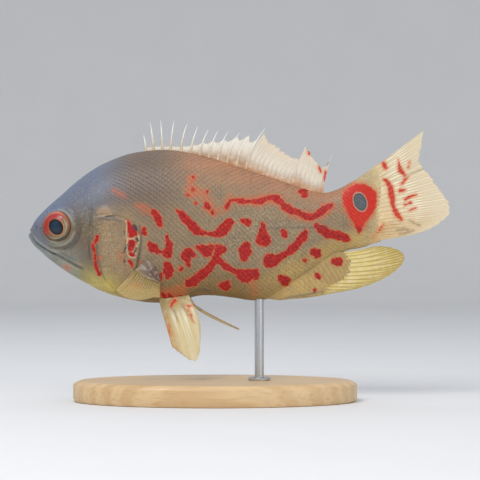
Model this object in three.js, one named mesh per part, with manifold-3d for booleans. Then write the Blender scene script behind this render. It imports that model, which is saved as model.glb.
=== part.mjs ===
// A life-size model of a young oscar fish, swimming, on a plain display stand.
//
// Everything is in millimetres. The fish is laid out in a frame of its own: x runs back from the tip of the lower jaw,
// z runs up from the same point, and y = 0 is the mid-plane, with the fish's left side at -y. The exported group puts
// that frame over the stand, whose underside has the part's origin at its centre, +Z up, the head towards -X.

import * as THREE from "three";
import { mergeVertices } from "three/addons/utils/BufferGeometryUtils.js";
import Module from "manifold-3d";

const wasm = await Module();
wasm.setup();

// Sizes of the whole
const GAP = 0.3; // between two pieces that touch
const JAW_TIP = new THREE.Vector3(-79.6, 0, 71); // in the part's frame
const BODY_END = 142.8; // where the tail stalk's flesh ends
const FISH_LENGTH = 180.6; // jaw tip to the end of the tail fin

// The body's outline from the side: [x, z] along the back and along the belly.
const BACK_LINE = [
  [0, 0.7], [0.9, 4.3], [2.8, 7.6], [7.7, 12.8], [12.9, 17.3], [20.6, 24.1], [28.4, 29.6], [36.1, 33.3], [44.7, 36],
  [58.1, 37.2], [68.4, 36], [79.6, 33.3], [90.3, 29.9], [101.1, 26.4], [114.4, 21.9], [125.5, 18.8], [131.2, 19.9],
  [137.6, 23.1], [BODY_END, 26.5],
];
const BELLY_LINE = [
  [0, -0.6], [1.3, -2.8], [5.2, -7.4], [10.3, -11.8], [20.6, -18.6], [32.3, -24.5], [45, -28], [56, -28.9], [64.5, -27.7],
  [73.1, -25.8], [79.6, -25.8], [88.2, -26.8], [95.5, -27.9], [101.5, -27.4], [109.7, -22.9], [120.4, -15.9],
  [129, -9.6], [135.5, -6.6], [BODY_END, -5.2],
];
// Half the body's width, and the level where it is widest as a share of its depth
const HALF_WIDTH = [
  [0, 1], [0.5, 2.7], [1.7, 4.5], [4.3, 6.3], [8.6, 7.9], [12.9, 9.1], [19.4, 10.9], [27.9, 12.7], [36.5, 13.6],
  [47.3, 13.9], [60.2, 13.4], [73.1, 12.5], [86, 11.3], [98.9, 9.8], [111.8, 8], [124.7, 6], [135.5, 4.1],
  [BODY_END, 2.2],
];
const WIDEST_LEVEL = [[0, 0.5], [12.9, 0.5], [30, 0.46], [60, 0.52], [100, 0.56], [BODY_END, 0.5]];
// How the width falls off towards the back and the belly: 1 is an ellipse, less is fuller, more is sharper.
const SHARP_ABOVE = [[0, 0.9], [20, 0.95], [40, 1.05], [60, 1.25], [100, 1.3], [122, 1.15], [BODY_END, 0.9]];
const SHARP_BELOW = [[0, 0.9], [25, 0.85], [60, 0.82], [90, 0.9], [103, 1.15], [122, 1.2], [BODY_END, 0.9]];

// Body stations, closer where the head's shape changes fast, and points up each side of a section
const STATIONS = [
  0, 0.5, 1.5, 3, 5, 7.5, 10, 12.5, 15, 18, 21.5, 25, 29, 33, 37.5, 42, 46.5, 51, 55.5, 60, 65, 70, 75, 80, 85, 90, 95,
  100, 104.5, 109, 114, 119, 124, 128, 132, 136, 139.5, BODY_END,
];
const SIDE_STEPS = 13;

// The tail swings gently towards the fish's left from this station on.
const SWING_START = 88;
const SWING = 8.5;

// Head
const EYE = { x: 12.6, z: 3.9, radius: 6.7, depth: 3.9, stands: 2, turn: 0.27 };
const RIM_RADIUS = 0.8;
const NOSTRIL = { x: 3.4, z: 3.3, radius: 0.75 };
const MOUTH_LINE = [[-3, 3.2], [0.6, 1.1], [2.7, -2.3], [6.6, -5.3], [11, -7.9], [14.2, -9.8]];
const JAW_CUT = [[18.5, -12.3], [22.8, -14.2], [24.2, -18], [24.8, -26]];
const UPPER_LIP = { radius: 1.25, shift: 1.15 };
const LOWER_LIP = { radius: 1.1, shift: -1.2 };
const NECK_CUT = [[36, 45], [40.5, 8], [39.5, -14], [33, -36]];
const STALK_CUT = [[126.5, 35], [128.5, -25]];

// Gill cover: its outline from the side, its thickness, and how far it stands proud at its front and rear edges
const COVER_LINE = [
  [28.2, 4], [29.8, 7.2], [34, 7.9], [38.8, 7.6], [43.2, 5.7], [46.2, 2.6], [47.8, -1], [47.6, -5.6], [46.6, -10],
  [45.2, -14.4], [42.8, -18.4], [38.8, -21], [34.6, -21.6], [31, -19.8], [29, -15], [28, -8],
];
const COVER_PROUD = [[28, 0.15], [48, 1]];
const COVER_THICK = 1.5;

// Fins: the thickness of the web and of a ray, and how deep a root starts inside the body before it is cut back
const WEB = 0.52;
const RAY = 0.5;
const ROOT_DEPTH = 1.6;

// Spiny part of the back fin: where each spine stands along the back, its tip, and how far the web reaches up behind it
const SPINES = [
  { root: 50, tip: [48.8, 43.5], web: 1.5 },
  { root: 53.2, tip: [51.6, 48.8], web: 1.5 },
  { root: 57, tip: [56.1, 49.7], web: 1.6 },
  { root: 60.4, tip: [62, 49.7], web: 1.5 },
  { root: 64.8, tip: [67.7, 48.8], web: 2.2 },
  { root: 69, tip: [72.3, 47.3], web: 3.6 },
  { root: 72.9, tip: [76.8, 45.9], web: 5.8 },
  { root: 76.7, tip: [81, 45.4], web: 7.6 },
  { root: 80.6, tip: [85.3, 45.2], web: 9.4 },
  { root: 84.6, tip: [90.3, 44.7], web: 12.4 },
  { root: 88.6, tip: [94.5, 43.9], web: 14.4 },
  { root: 92.8, tip: [101.4, 46.7], web: 0 },
];
const SPINE_RADIUS = 0.72;

// Soft part of the back fin: ray tips from the front, with a torn notch, a spike and a last long ray
const SOFT_ROOTS = [94.1, 126];
const SOFT_TIPS = [
  [101.9, 44.4], [103.4, 40.4], [105.4, 39.8], [107.8, 38], [110.4, 35.6], [113, 34.2], [115.8, 33.6], [117.6, 33.8],
  [118.9, 39.2], [120.9, 35.4], [123.2, 32.4], [125.6, 29.6], [127.8, 30.4], [130, 35],
];

// Tail fin: ray tips from the top
const TAIL_ROOTS = [26, -4.4];
const TAIL_TIPS = [
  [169, 45.4], [168.4, 41.2], [167.4, 36.6], [166.8, 32.4], [169, 29.2], [171.6, 26.2], [173.7, 23.2], [175.9, 20.2],
  [178, 17.2], [179.8, 14.2], [FISH_LENGTH, 11.6], [179.8, 9], [177.8, 7], [175, 4.9], [171.8, 3], [168, 1.6],
  [163.4, 0.3],
];

// Anal fin: three short spines and the soft rays, from the front, with their roots along the belly's rising edge
const ANAL_ROOTS = [101, 131.4];
const ANAL_TIPS = [
  [107.6, -27.6], [112.8, -27], [118.2, -26.6], [124, -25.8], [129.6, -24.7], [135, -23.7], [140.6, -22.6],
  [145.8, -21], [150.6, -19], [154.4, -16.9], [157.4, -14.7], [159.9, -12.4], [161.2, -9.4], [160.6, -7.3],
  [158.2, -5.6], [154.6, -4.6], [150.6, -4.2], [147.2, -4.4],
];

// Left pelvic fin, which hangs down and shows its face, and right one, which trails level and shows its edge
const LEFT_PELVIC = {
  roots: [[55.2, -28.4], [67.6, -27]],
  out: [4.2, 3.4],
  tips: [[61.8, -47.6], [65.8, -50.8], [69.2, -53.3], [72, -53.9], [73.3, -50.4], [73.5, -44.4], [73.4, -37.8]],
  spread: 6,
};
const RIGHT_PELVIC = {
  roots: [[62.5, -27.9], [67.4, -27]],
  out: [5.4, 2.2],
  knee: [73, -32.8],
  tips: [[90.4, -41], [87.6, -39.9], [84, -38.3], [80.4, -36.3], [77, -34.2], [74.6, -32.2]],
  tipsOut: [13.6, 4.4],
};

// Pectoral fins, flared as a fish brakes: a fan from a slanted fleshy root, with its upper rays longest. The angles of
// its first and last ray are from straight down, towards the tail.
const PECTORAL = { rootTop: [50.4, -9.6], rootBottom: [56, -17], rays: 11, length: 27, shortest: 0.55 };
const LEFT_FAN = { from: -0.72, to: 0.08, flare: 0.85 };
const RIGHT_FAN = { from: -0.4, to: 0.3, flare: 0.95 };

// Stand
const BASE = { length: 122, width: 68, height: 9, chamfer: 1.6 };
const ROD = { x: 98.6, radius: 2 };

// Materials, coloured from the photograph
const skin = new THREE.MeshStandardMaterial({ color: 0x9a8267, roughness: 0.55, metalness: 0 });
const headSkin = new THREE.MeshStandardMaterial({ color: 0x85807c, roughness: 0.5, metalness: 0 });
const coverSkin = new THREE.MeshStandardMaterial({ color: 0x9c7f68, roughness: 0.45, metalness: 0 });
const finWeb = new THREE.MeshStandardMaterial({ color: 0xe6d8b4, roughness: 0.5, metalness: 0 });
const eyeGloss = new THREE.MeshStandardMaterial({ color: 0x25303f, roughness: 0.1, metalness: 0 });
const maple = new THREE.MeshStandardMaterial({ color: 0xd3b68c, roughness: 0.5, metalness: 0 });
const steel = new THREE.MeshStandardMaterial({ color: 0xb9bcc0, roughness: 0.3, metalness: 1 });

// A smooth curve through points [at, value], as a function of the first number.
function through(points) {
  const last = points.length - 1;
  const slope = points.map((_, i) => {
    const before = points[Math.max(0, i - 1)];
    const after = points[Math.min(last, i + 1)];
    return (after[1] - before[1]) / (after[0] - before[0]);
  });
  return (at) => {
    const x = Math.min(Math.max(at, points[0][0]), points[last][0]);
    let i = 0;
    while (i < last - 1 && x > points[i + 1][0]) i++;
    const span = points[i + 1][0] - points[i][0];
    const t = (x - points[i][0]) / span;
    const ease = t * t * (3 - 2 * t);
    const leave = slope[i] * span * t * (1 - t) * (1 - t);
    const arrive = slope[i + 1] * span * t * t * (t - 1);
    return points[i][1] + (points[i + 1][1] - points[i][1]) * ease + leave + arrive;
  };
}

const back = through(BACK_LINE);
const belly = through(BELLY_LINE);
const halfWidth = through(HALF_WIDTH);
const widestLevel = through(WIDEST_LEVEL);
const sharpAbove = through(SHARP_ABOVE);
const sharpBelow = through(SHARP_BELOW);
const coverProud = through(COVER_PROUD);
const neverGrown = () => 0;

// A point of the body's left surface: step 0 is on the belly's edge and 1 on the back's. grown moves it outwards.
function sectionPoint(x, step, grown) {
  const top = back(x) + grown;
  const bottom = belly(x) - grown;
  const middle = bottom + widestLevel(x) * (top - bottom);
  const rise = -Math.cos(Math.PI * step);
  const z = middle + rise * (rise < 0 ? middle - bottom : top - middle);
  const sharp = rise < 0 ? sharpBelow(x) : sharpAbove(x);
  const y = -(halfWidth(x) + grown) * Math.pow(Math.sin(Math.PI * step), sharp);
  return new THREE.Vector3(x, Math.min(0, y), z);
}

// How far the body's flank stands from the mid-plane at x and z.
function flank(x, z) {
  const top = back(x);
  const bottom = belly(x);
  const middle = bottom + widestLevel(x) * (top - bottom);
  const lift = z < middle ? (middle - z) / (middle - bottom) : (z - middle) / (top - middle);
  const sharp = z < middle ? sharpBelow(x) : sharpAbove(x);
  return halfWidth(x) * Math.pow(Math.max(0, 1 - lift * lift), sharp / 2);
}

// A solid from a closed geometry.
function solid(geometry) {
  const bare = geometry.clone();
  bare.deleteAttribute("normal");
  bare.deleteAttribute("uv");
  const merged = mergeVertices(bare, 1e-4);
  const vertProperties = new Float32Array(merged.attributes.position.array);
  const triVerts = new Uint32Array(merged.index.array);
  const made = new wasm.Manifold(new wasm.Mesh({ numProp: 3, vertProperties, triVerts }));
  if (made.volume() > 0) return made;
  for (let i = 0; i < triVerts.length; i += 3) [triVerts[i], triVerts[i + 1]] = [triVerts[i + 1], triVerts[i]];
  return new wasm.Manifold(new wasm.Mesh({ numProp: 3, vertProperties, triVerts }));
}

// A closed skin over rings of points, all of one length, with a fan over each end.
function overRings(rings) {
  const count = rings[0].length;
  const points = rings.flat();
  const faces = [];
  for (let r = 0; r + 1 < rings.length; r++) {
    for (let i = 0; i < count; i++) {
      const a = r * count + i;
      const b = r * count + ((i + 1) % count);
      faces.push(a, b, b + count, a, b + count, a + count);
    }
  }
  const middleOf = (ring) => ring.reduce((sum, p) => sum.add(p), new THREE.Vector3()).divideScalar(count);
  points.push(middleOf(rings[0]), middleOf(rings[rings.length - 1]));
  const lastRing = (rings.length - 1) * count;
  for (let i = 0; i < count; i++) {
    const next = (i + 1) % count;
    faces.push(points.length - 2, next, i, points.length - 1, lastRing + i, lastRing + next);
  }
  return solid(new THREE.BufferGeometry().setFromPoints(points).setIndex(faces));
}

// The whole body, grown outwards by a size that may change along it.
function bodyGrown(grown) {
  const ends = [STATIONS[0], BODY_END];
  return overRings(
    STATIONS.map((x) => {
      const size = grown(x);
      const shift = x === ends[0] ? -size : x === ends[1] ? size : 0;
      const left = [];
      for (let i = 0; i <= SIDE_STEPS; i++) left.push(sectionPoint(x, i / SIDE_STEPS, size));
      const right = left.slice(1, -1).reverse().map((p) => new THREE.Vector3(p.x, -p.y, p.z));
      return [...left, ...right].map((p) => p.setX(p.x + shift));
    }),
  );
}

// A round bar along a curve, from radii that may change along it. The curve never runs along across.
function bar(curve, radiusAt, steps, sides, across) {
  const rings = [];
  for (let i = 0; i <= steps; i++) {
    const t = i / steps;
    const along = curve.getTangent(t);
    const side = across.clone().cross(along).normalize();
    const other = along.clone().cross(side);
    const centre = curve.getPoint(t);
    const ring = [];
    for (let k = 0; k < sides; k++) {
      const turn = (2 * Math.PI * k) / sides;
      const out = side.clone().multiplyScalar(Math.cos(turn)).addScaledVector(other, Math.sin(turn));
      ring.push(centre.clone().addScaledVector(out, radiusAt(t)));
    }
    rings.push(ring);
  }
  return overRings(rings);
}

// A wall across the fish along a line [x, z], as thick as the gap, that parts what it crosses.
function cutAlong(line) {
  const middle = line.map(([x, z]) => new THREE.Vector2(x, z));
  const sides = middle.map((p, i) => {
    const along = middle[Math.min(i + 1, middle.length - 1)].clone().sub(middle[Math.max(i - 1, 0)]).normalize();
    return new THREE.Vector2(-along.y, along.x).multiplyScalar(GAP / 2);
  });
  const outline = [
    ...middle.map((p, i) => p.clone().add(sides[i])),
    ...middle.map((p, i) => p.clone().sub(sides[i])).reverse(),
  ];
  return prism(outline, -40, 40);
}

// A flat outline [x, z] carried across the fish from one y to another.
function prism(outline, fromY, toY) {
  const made = new THREE.ExtrudeGeometry(new THREE.Shape(outline), { depth: toY - fromY, bevelEnabled: false });
  made.rotateX(Math.PI / 2).translate(0, toY, 0);
  return solid(made);
}

const LEFTWARDS = new THREE.Vector3(0, -1, 0);
const largest = (made) => made.decompose().sort((a, b) => b.volume() - a.volume())[0];
const both = (make) => [-1, 1].map(make);
const union = (pieces) => pieces.reduce((sum, p) => sum.add(p));

const body = bodyGrown(neverGrown);
const bodyAndGap = bodyGrown(() => GAP);

// Head pieces

// An eyeball is flat from side to side and looks a little forwards. grown widens it for the socket.
function eyeball(side, grown) {
  const ball = new THREE.SphereGeometry(1, 22, 12);
  ball.rotateX(Math.PI / 2);
  ball.scale(EYE.radius + grown, EYE.depth + grown, EYE.radius + grown);
  ball.rotateZ(side * EYE.turn);
  ball.translate(EYE.x, side * (flank(EYE.x, EYE.z) + EYE.stands - EYE.depth), EYE.z);
  return solid(ball);
}

// The raised rim of skin round an eye.
function eyeRim(side) {
  const ring = new THREE.TorusGeometry(EYE.radius, RIM_RADIUS, 8, 28);
  ring.rotateX(Math.PI / 2).rotateZ(side * EYE.turn);
  ring.translate(EYE.x, side * (flank(EYE.x, EYE.z) - 0.2), EYE.z);
  return solid(ring);
}

function nostril(side) {
  const dent = new THREE.SphereGeometry(NOSTRIL.radius, 10, 8);
  dent.translate(NOSTRIL.x, side * (flank(NOSTRIL.x, NOSTRIL.z) + 0.2), NOSTRIL.z);
  return solid(dent);
}

// A lip: a roll that runs from one corner of the mouth round the snout to the other, thinner at the corners.
function lip({ radius, shift }) {
  const side = MOUTH_LINE.slice(1).map(([x, z]) => {
    const level = z + shift;
    return new THREE.Vector3(x, -Math.max(0, flank(x, level) - radius * 0.45), level);
  });
  const tip = new THREE.Vector3(side[0].x - 0.1, 0, side[0].z + shift * 0.1);
  const other = side.map((p) => new THREE.Vector3(p.x, -p.y, p.z));
  const curve = new THREE.CatmullRomCurve3([...side.reverse(), tip, ...other], false, "centripetal");
  return bar(curve, (t) => radius * (0.45 + 0.55 * Math.sin(Math.PI * t)), 26, 8, new THREE.Vector3(0, 0, 1));
}

const coverCurve = new THREE.SplineCurve([...COVER_LINE, COVER_LINE[0]].map(([x, z]) => new THREE.Vector2(x, z)));
const coverOutline = coverCurve.getPoints(40).slice(0, -1);
const coverMiddle = new THREE.Vector2(38, -7);

// A gill cover: a curved plate let into the side of the head.
function gillCover(side) {
  const reach = [side * 2, side * 30].sort((a, b) => a - b);
  const plate = prism(coverOutline, ...reach).intersect(bodyGrown(coverProud));
  return largest(plate.subtract(bodyGrown(() => -COVER_THICK)));
}

function coverSeat(side) {
  const wider = coverOutline.map((p) => p.clone().addScaledVector(p.clone().sub(coverMiddle).normalize(), GAP));
  const reach = [side * 2, side * 30].sort((a, b) => a - b);
  return prism(wider, ...reach).subtract(bodyGrown(() => -COVER_THICK - GAP));
}

// The flesh with its lips, rims, sockets and seats, parted by the mouth, the neck and the root of the tail stalk
const added = union([body, lip(UPPER_LIP), lip(LOWER_LIP), ...both(eyeRim)]);
const taken = union([...both((s) => eyeball(s, GAP)), ...both(nostril), ...both(coverSeat)]);
const cuts = union([cutAlong([...MOUTH_LINE, ...JAW_CUT]), cutAlong(NECK_CUT), cutAlong(STALK_CUT)]);
const flesh = added.subtract(taken).subtract(cuts).decompose().sort((a, b) => b.volume() - a.volume()).slice(0, 4);
const middleX = (made) => (made.boundingBox().min[0] + made.boundingBox().max[0]) / 2;
const [lowerJaw, head, trunk, tailStalk] = flesh.sort((a, b) => middleX(a) - middleX(b));

// Fins

// A fin's plate. rays[i](v) is ray i's line from root (v = 0) to tip (v = 1). The web dips between tips by notch and
// each ray is a ridge on both faces. rootThick is the plate's thickness where it grows from the body.
function plate(rays, { rows, notch = 0.03, rootThick = 2.2, web = WEB, ray = RAY }) {
  const columns = 2 * rays.length - 1;
  const grid = [];
  for (let c = 0; c < columns; c++) {
    const near = rays[c >> 1];
    const next = rays[(c + 1) >> 1];
    const reach = c % 2 ? 1 - notch : 1;
    const line = [];
    for (let r = 0; r <= rows; r++) line.push(near((r / rows) * reach).lerp(next((r / rows) * reach), 0.5));
    grid.push(line);
  }
  const at = (c, r) => grid[Math.min(Math.max(c, 0), columns - 1)][Math.min(Math.max(r, 0), rows)];
  const faces = [];
  const points = [];
  const index = (c, r, face) => 2 * (c * (rows + 1) + r) + face;
  for (let c = 0; c < columns; c++) {
    for (let r = 0; r <= rows; r++) {
      const across = at(c + 1, r).clone().sub(at(c - 1, r));
      const along = at(c, r + 1).clone().sub(at(c, r - 1));
      const normal = across.cross(along).normalize();
      const v = r / rows;
      const root = (rootThick - web) * Math.pow(1 - v, 5);
      const ridge = c % 2 ? 0 : ray * (1 - 0.65 * v);
      const half = (web * (1 - 0.25 * v) + root + ridge) / 2;
      points.push(at(c, r).clone().addScaledVector(normal, half), at(c, r).clone().addScaledVector(normal, -half));
    }
  }
  const quad = (a, b, c, d) => faces.push(a, b, c, a, c, d);
  for (let c = 0; c + 1 < columns; c++) {
    for (let r = 0; r < rows; r++) {
      quad(index(c, r, 0), index(c + 1, r, 0), index(c + 1, r + 1, 0), index(c, r + 1, 0));
      faces.push(index(c, r, 1), index(c + 1, r + 1, 1), index(c + 1, r, 1));
      faces.push(index(c, r, 1), index(c, r + 1, 1), index(c + 1, r + 1, 1));
    }
    quad(index(c, 0, 1), index(c + 1, 0, 1), index(c + 1, 0, 0), index(c, 0, 0));
    quad(index(c, rows, 0), index(c + 1, rows, 0), index(c + 1, rows, 1), index(c, rows, 1));
  }
  for (let r = 0; r < rows; r++) {
    quad(index(0, r, 0), index(0, r + 1, 0), index(0, r + 1, 1), index(0, r, 1));
    const c = columns - 1;
    quad(index(c, r, 1), index(c, r + 1, 1), index(c, r + 1, 0), index(c, r, 0));
  }
  return solid(new THREE.BufferGeometry().setFromPoints(points).setIndex(faces));
}

// A ray from root to tip that bows sideways by bow, as a share of its length, in the plane of x and z.
function bowed(root, tip, bow) {
  const along = tip.clone().sub(root);
  const aside = new THREE.Vector3(-along.z, 0, along.x).multiplyScalar(2 * bow);
  const middle = root.clone().lerp(tip, 0.5).add(aside);
  const curve = new THREE.QuadraticBezierCurve3(root, middle, tip);
  return (v) => curve.getPoint(v);
}

const inPlane = ([x, z]) => new THREE.Vector3(x, 0, z);
const share = (i, list) => i / (list.length - 1);
const between = ([from, to], t) => from + (to - from) * t;
const offBody = (made) => largest(made.subtract(bodyAndGap));

// A point below the back's edge, where a fin's ray is rooted, and a line that rises from it and bends towards the tail
const backRoot = (x) => new THREE.Vector3(x, 0, back(x) - ROOT_DEPTH);
function rising(root, tip) {
  const knee = new THREE.Vector3(between([root.x, tip.x], 0.12), 0, between([root.z, tip.z], 0.5));
  return new THREE.QuadraticBezierCurve3(root, knee, tip);
}

// The spiny part of the back fin: tapered spines, and a web that climbs from spine to spine.
function spinyFin() {
  const spines = SPINES.map(({ root, tip }) => {
    const foot = backRoot(root);
    const curve = rising(foot, inPlane(tip));
    return { curve, made: bar(curve, (t) => SPINE_RADIUS * (1 - 0.72 * t), 5, 6, LEFTWARDS) };
  });
  const webs = SPINES.map(({ web }, i) => {
    const { curve } = spines[i];
    const behind = Math.max(web, SPINES[Math.max(0, i - 1)].web);
    const reach = Math.min(0.96, (behind + ROOT_DEPTH) / curve.getLength());
    return (v) => curve.getPoint(v * reach);
  });
  const web = plate(webs, { rows: 4, notch: 0.12, rootThick: 1.5, ray: 0.2 });
  return offBody(union([web, ...spines.map((s) => s.made)]));
}

function softFin() {
  const rays = SOFT_TIPS.map((tip, i) => {
    const curve = rising(backRoot(between(SOFT_ROOTS, share(i, SOFT_TIPS))), inPlane(tip));
    return (v) => curve.getPoint(v);
  });
  return offBody(plate(rays, { rows: 7, notch: 0.05, rootThick: 2 }));
}

// The tail fin's upper lobe is folded a little to the left along one ray.
function tailFin() {
  const rays = TAIL_TIPS.map((tip, i) => {
    const t = share(i, TAIL_TIPS);
    const root = new THREE.Vector3(BODY_END - ROOT_DEPTH, 0, between(TAIL_ROOTS, t));
    const straight = bowed(root, inPlane(tip), 0.02 * (t - 0.5));
    const fold = i < 4 ? -1.6 + 0.3 * i : 0.9 * Math.sin(4 * t);
    return (v) => straight(v).setY(fold * v * v);
  });
  return offBody(plate(rays, { rows: 8, notch: 0.03, rootThick: 2.6 }));
}

function analFin() {
  const rays = ANAL_TIPS.map((tip, i) => {
    const x = between(ANAL_ROOTS, share(i, ANAL_TIPS));
    const root = new THREE.Vector3(x - ROOT_DEPTH, 0, belly(x) + ROOT_DEPTH);
    return bowed(root, inPlane(tip), -0.05);
  });
  return offBody(plate(rays, { rows: 7, notch: 0.03, rootThick: 3 }));
}

function leftPelvic() {
  const { roots, out, tips, spread } = LEFT_PELVIC;
  const rays = tips.map((tip, i) => {
    const t = share(i, tips);
    const x = between([roots[0][0], roots[1][0]], t);
    const root = new THREE.Vector3(x, -between(out, t), between([roots[0][1], roots[1][1]], t) + 3);
    const end = inPlane(tip).setY(-between(out, t) - spread * (1 - 0.4 * t));
    return bowed(root, end, 0.04 * t);
  });
  return offBody(plate(rays, { rows: 7, notch: 0.03, rootThick: 2.6, ray: 0.7 }));
}

function rightPelvic() {
  const { roots, out, knee, tips, tipsOut } = RIGHT_PELVIC;
  const rays = tips.map((tip, i) => {
    const t = share(i, tips);
    const x = between([roots[0][0], roots[1][0]], t);
    const root = new THREE.Vector3(x, between(out, t), between([roots[0][1], roots[1][1]], t) + 2.6);
    const end = inPlane(tip).setY(between(tipsOut, t));
    const bend = new THREE.Vector3(between([knee[0], root.x], 0.35 * t), (root.y + end.y) / 2, knee[1]);
    const curve = new THREE.QuadraticBezierCurve3(root, bend, end);
    return (v) => curve.getPoint(v);
  });
  return offBody(plate(rays, { rows: 8, notch: 0.03, rootThick: 2, ray: 0.6 }));
}

// A pectoral fin: its rays fan round from towards the head to towards the tail, and flare away from the flank.
function pectoral(side, { from, to, flare }) {
  const { rootTop, rootBottom, rays: count, length, shortest } = PECTORAL;
  const rays = Array.from({ length: count }, (_, i) => {
    const t = i / (count - 1);
    const angle = between([from, to], t);
    const x = between([rootTop[0], rootBottom[0]], t);
    const z = between([rootTop[1], rootBottom[1]], t);
    const root = new THREE.Vector3(x, side * (flank(x, z) - ROOT_DEPTH), z);
    const size = length * between([1, shortest], t) * (0.82 + 0.18 * Math.sin(Math.PI * Math.min(1, t + 0.2))) + ROOT_DEPTH;
    const away = new THREE.Vector3(
      Math.sin(angle) * Math.cos(flare), side * Math.sin(flare), -Math.cos(angle) * Math.cos(flare),
    );
    const middle = root.clone().addScaledVector(away, size / 2);
    middle.y += side * 1.6;
    const curve = new THREE.QuadraticBezierCurve3(root, middle, root.clone().addScaledVector(away, size));
    return (v) => curve.getPoint(v);
  });
  return offBody(plate(rays, { rows: 7, notch: 0.02, rootThick: 3.4 }));
}

// Stand, in the part's own frame

// A low oval base with a chamfered top edge and a flat underside.
function standBase() {
  const half = BASE.width / 2;
  const profile = [[0, 0], [half, 0], [half, BASE.height - BASE.chamfer], [half - BASE.chamfer, BASE.height], [0, BASE.height]];
  const disc = new THREE.LatheGeometry(profile.map(([r, z]) => new THREE.Vector2(r, z)), 60);
  return solid(disc.rotateX(Math.PI / 2).scale(BASE.length / BASE.width, 1, 1));
}

// A straight rod from the base up to the belly, its top shaped to the belly.
function standRod() {
  const foot = BASE.height + GAP - JAW_TIP.z;
  const top = belly(ROD.x) + 4;
  const rod = new THREE.CylinderGeometry(ROD.radius, ROD.radius, top - foot, 24);
  rod.rotateX(Math.PI / 2).translate(ROD.x, 0, (top + foot) / 2);
  return largest(solid(rod).subtract(bodyAndGap));
}

// The sideways swing of the tail at x.
function swing(x) {
  const t = Math.max(0, (x - SWING_START) / (FISH_LENGTH - SWING_START));
  return -SWING * t * t;
}

// A named mesh from a solid, bent with the tail where it belongs to the fish.
function piece(name, made, material, bends = true) {
  const { vertProperties, numProp, triVerts } = made.getMesh();
  const places = [];
  for (let i = 0; i < vertProperties.length; i += numProp) {
    const [x, y, z] = vertProperties.subarray(i, i + 3);
    places.push(x, bends ? y + swing(x) : y, z);
  }
  const geometry = new THREE.BufferGeometry();
  geometry.setAttribute("position", new THREE.Float32BufferAttribute(places, 3));
  geometry.setIndex([...triVerts]);
  geometry.computeVertexNormals();
  const mesh = new THREE.Mesh(geometry, material);
  mesh.name = name;
  return mesh;
}

const fish = new THREE.Group();
fish.position.copy(JAW_TIP);
fish.add(
  piece("head", head, headSkin),
  piece("lower_jaw", lowerJaw, headSkin),
  piece("trunk", trunk, skin),
  piece("tail_stalk", tailStalk, skin),
  piece("gill_cover_left", gillCover(-1), coverSkin),
  piece("gill_cover_right", gillCover(1), coverSkin),
  piece("eye_left", eyeball(-1, 0), eyeGloss),
  piece("eye_right", eyeball(1, 0), eyeGloss),
  piece("back_fin_spiny", spinyFin(), finWeb),
  piece("back_fin_soft", softFin(), finWeb),
  piece("tail_fin", tailFin(), finWeb),
  piece("anal_fin", analFin(), finWeb),
  piece("pelvic_fin_left", leftPelvic(), finWeb),
  piece("pelvic_fin_right", rightPelvic(), finWeb),
  piece("pectoral_fin_left", pectoral(-1, LEFT_FAN), finWeb),
  piece("pectoral_fin_right", pectoral(1, RIGHT_FAN), finWeb),
  piece("stand_rod", standRod(), steel, false),
);

const model = new THREE.Group();
model.add(fish, piece("stand_base", standBase(), maple, false));

export default model;
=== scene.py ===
"""A young oscar fish on a display stand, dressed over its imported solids.

The fish has a frame of its own, in millimetres: x runs back from the tip of the lower jaw, z runs up from
the same point, and its left side is at negative y.
"""

import math

import bpy
import numpy as np
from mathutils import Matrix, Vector


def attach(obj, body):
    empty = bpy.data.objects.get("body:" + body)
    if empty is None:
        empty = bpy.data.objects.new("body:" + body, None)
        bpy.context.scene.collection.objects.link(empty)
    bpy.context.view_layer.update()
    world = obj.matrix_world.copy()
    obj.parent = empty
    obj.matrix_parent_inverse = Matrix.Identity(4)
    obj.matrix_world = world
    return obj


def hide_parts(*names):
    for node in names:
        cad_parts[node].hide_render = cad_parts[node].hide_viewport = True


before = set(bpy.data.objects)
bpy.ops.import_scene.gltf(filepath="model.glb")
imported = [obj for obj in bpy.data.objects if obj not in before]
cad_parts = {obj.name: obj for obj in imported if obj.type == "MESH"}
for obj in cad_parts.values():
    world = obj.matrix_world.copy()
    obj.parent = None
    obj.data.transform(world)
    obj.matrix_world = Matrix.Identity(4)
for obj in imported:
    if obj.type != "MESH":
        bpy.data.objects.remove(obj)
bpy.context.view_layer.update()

# The skin: one soft, scaled hide from the snout to the root of the tail fin, with no seam at the neck or
# the gill covers. It lies just inside the solids, and is raised and creased at the lips, eye rims, cheeks
# and gill covers.
MM = 0.001
JAW_TIP = np.array([-79.6, 0.0, 71.0])
SKIN_INSET = 0.3
FLESH_END = 150.5
FISH_LENGTH = 180.6
SWING_START = 88
SWING = 8.5

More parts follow.
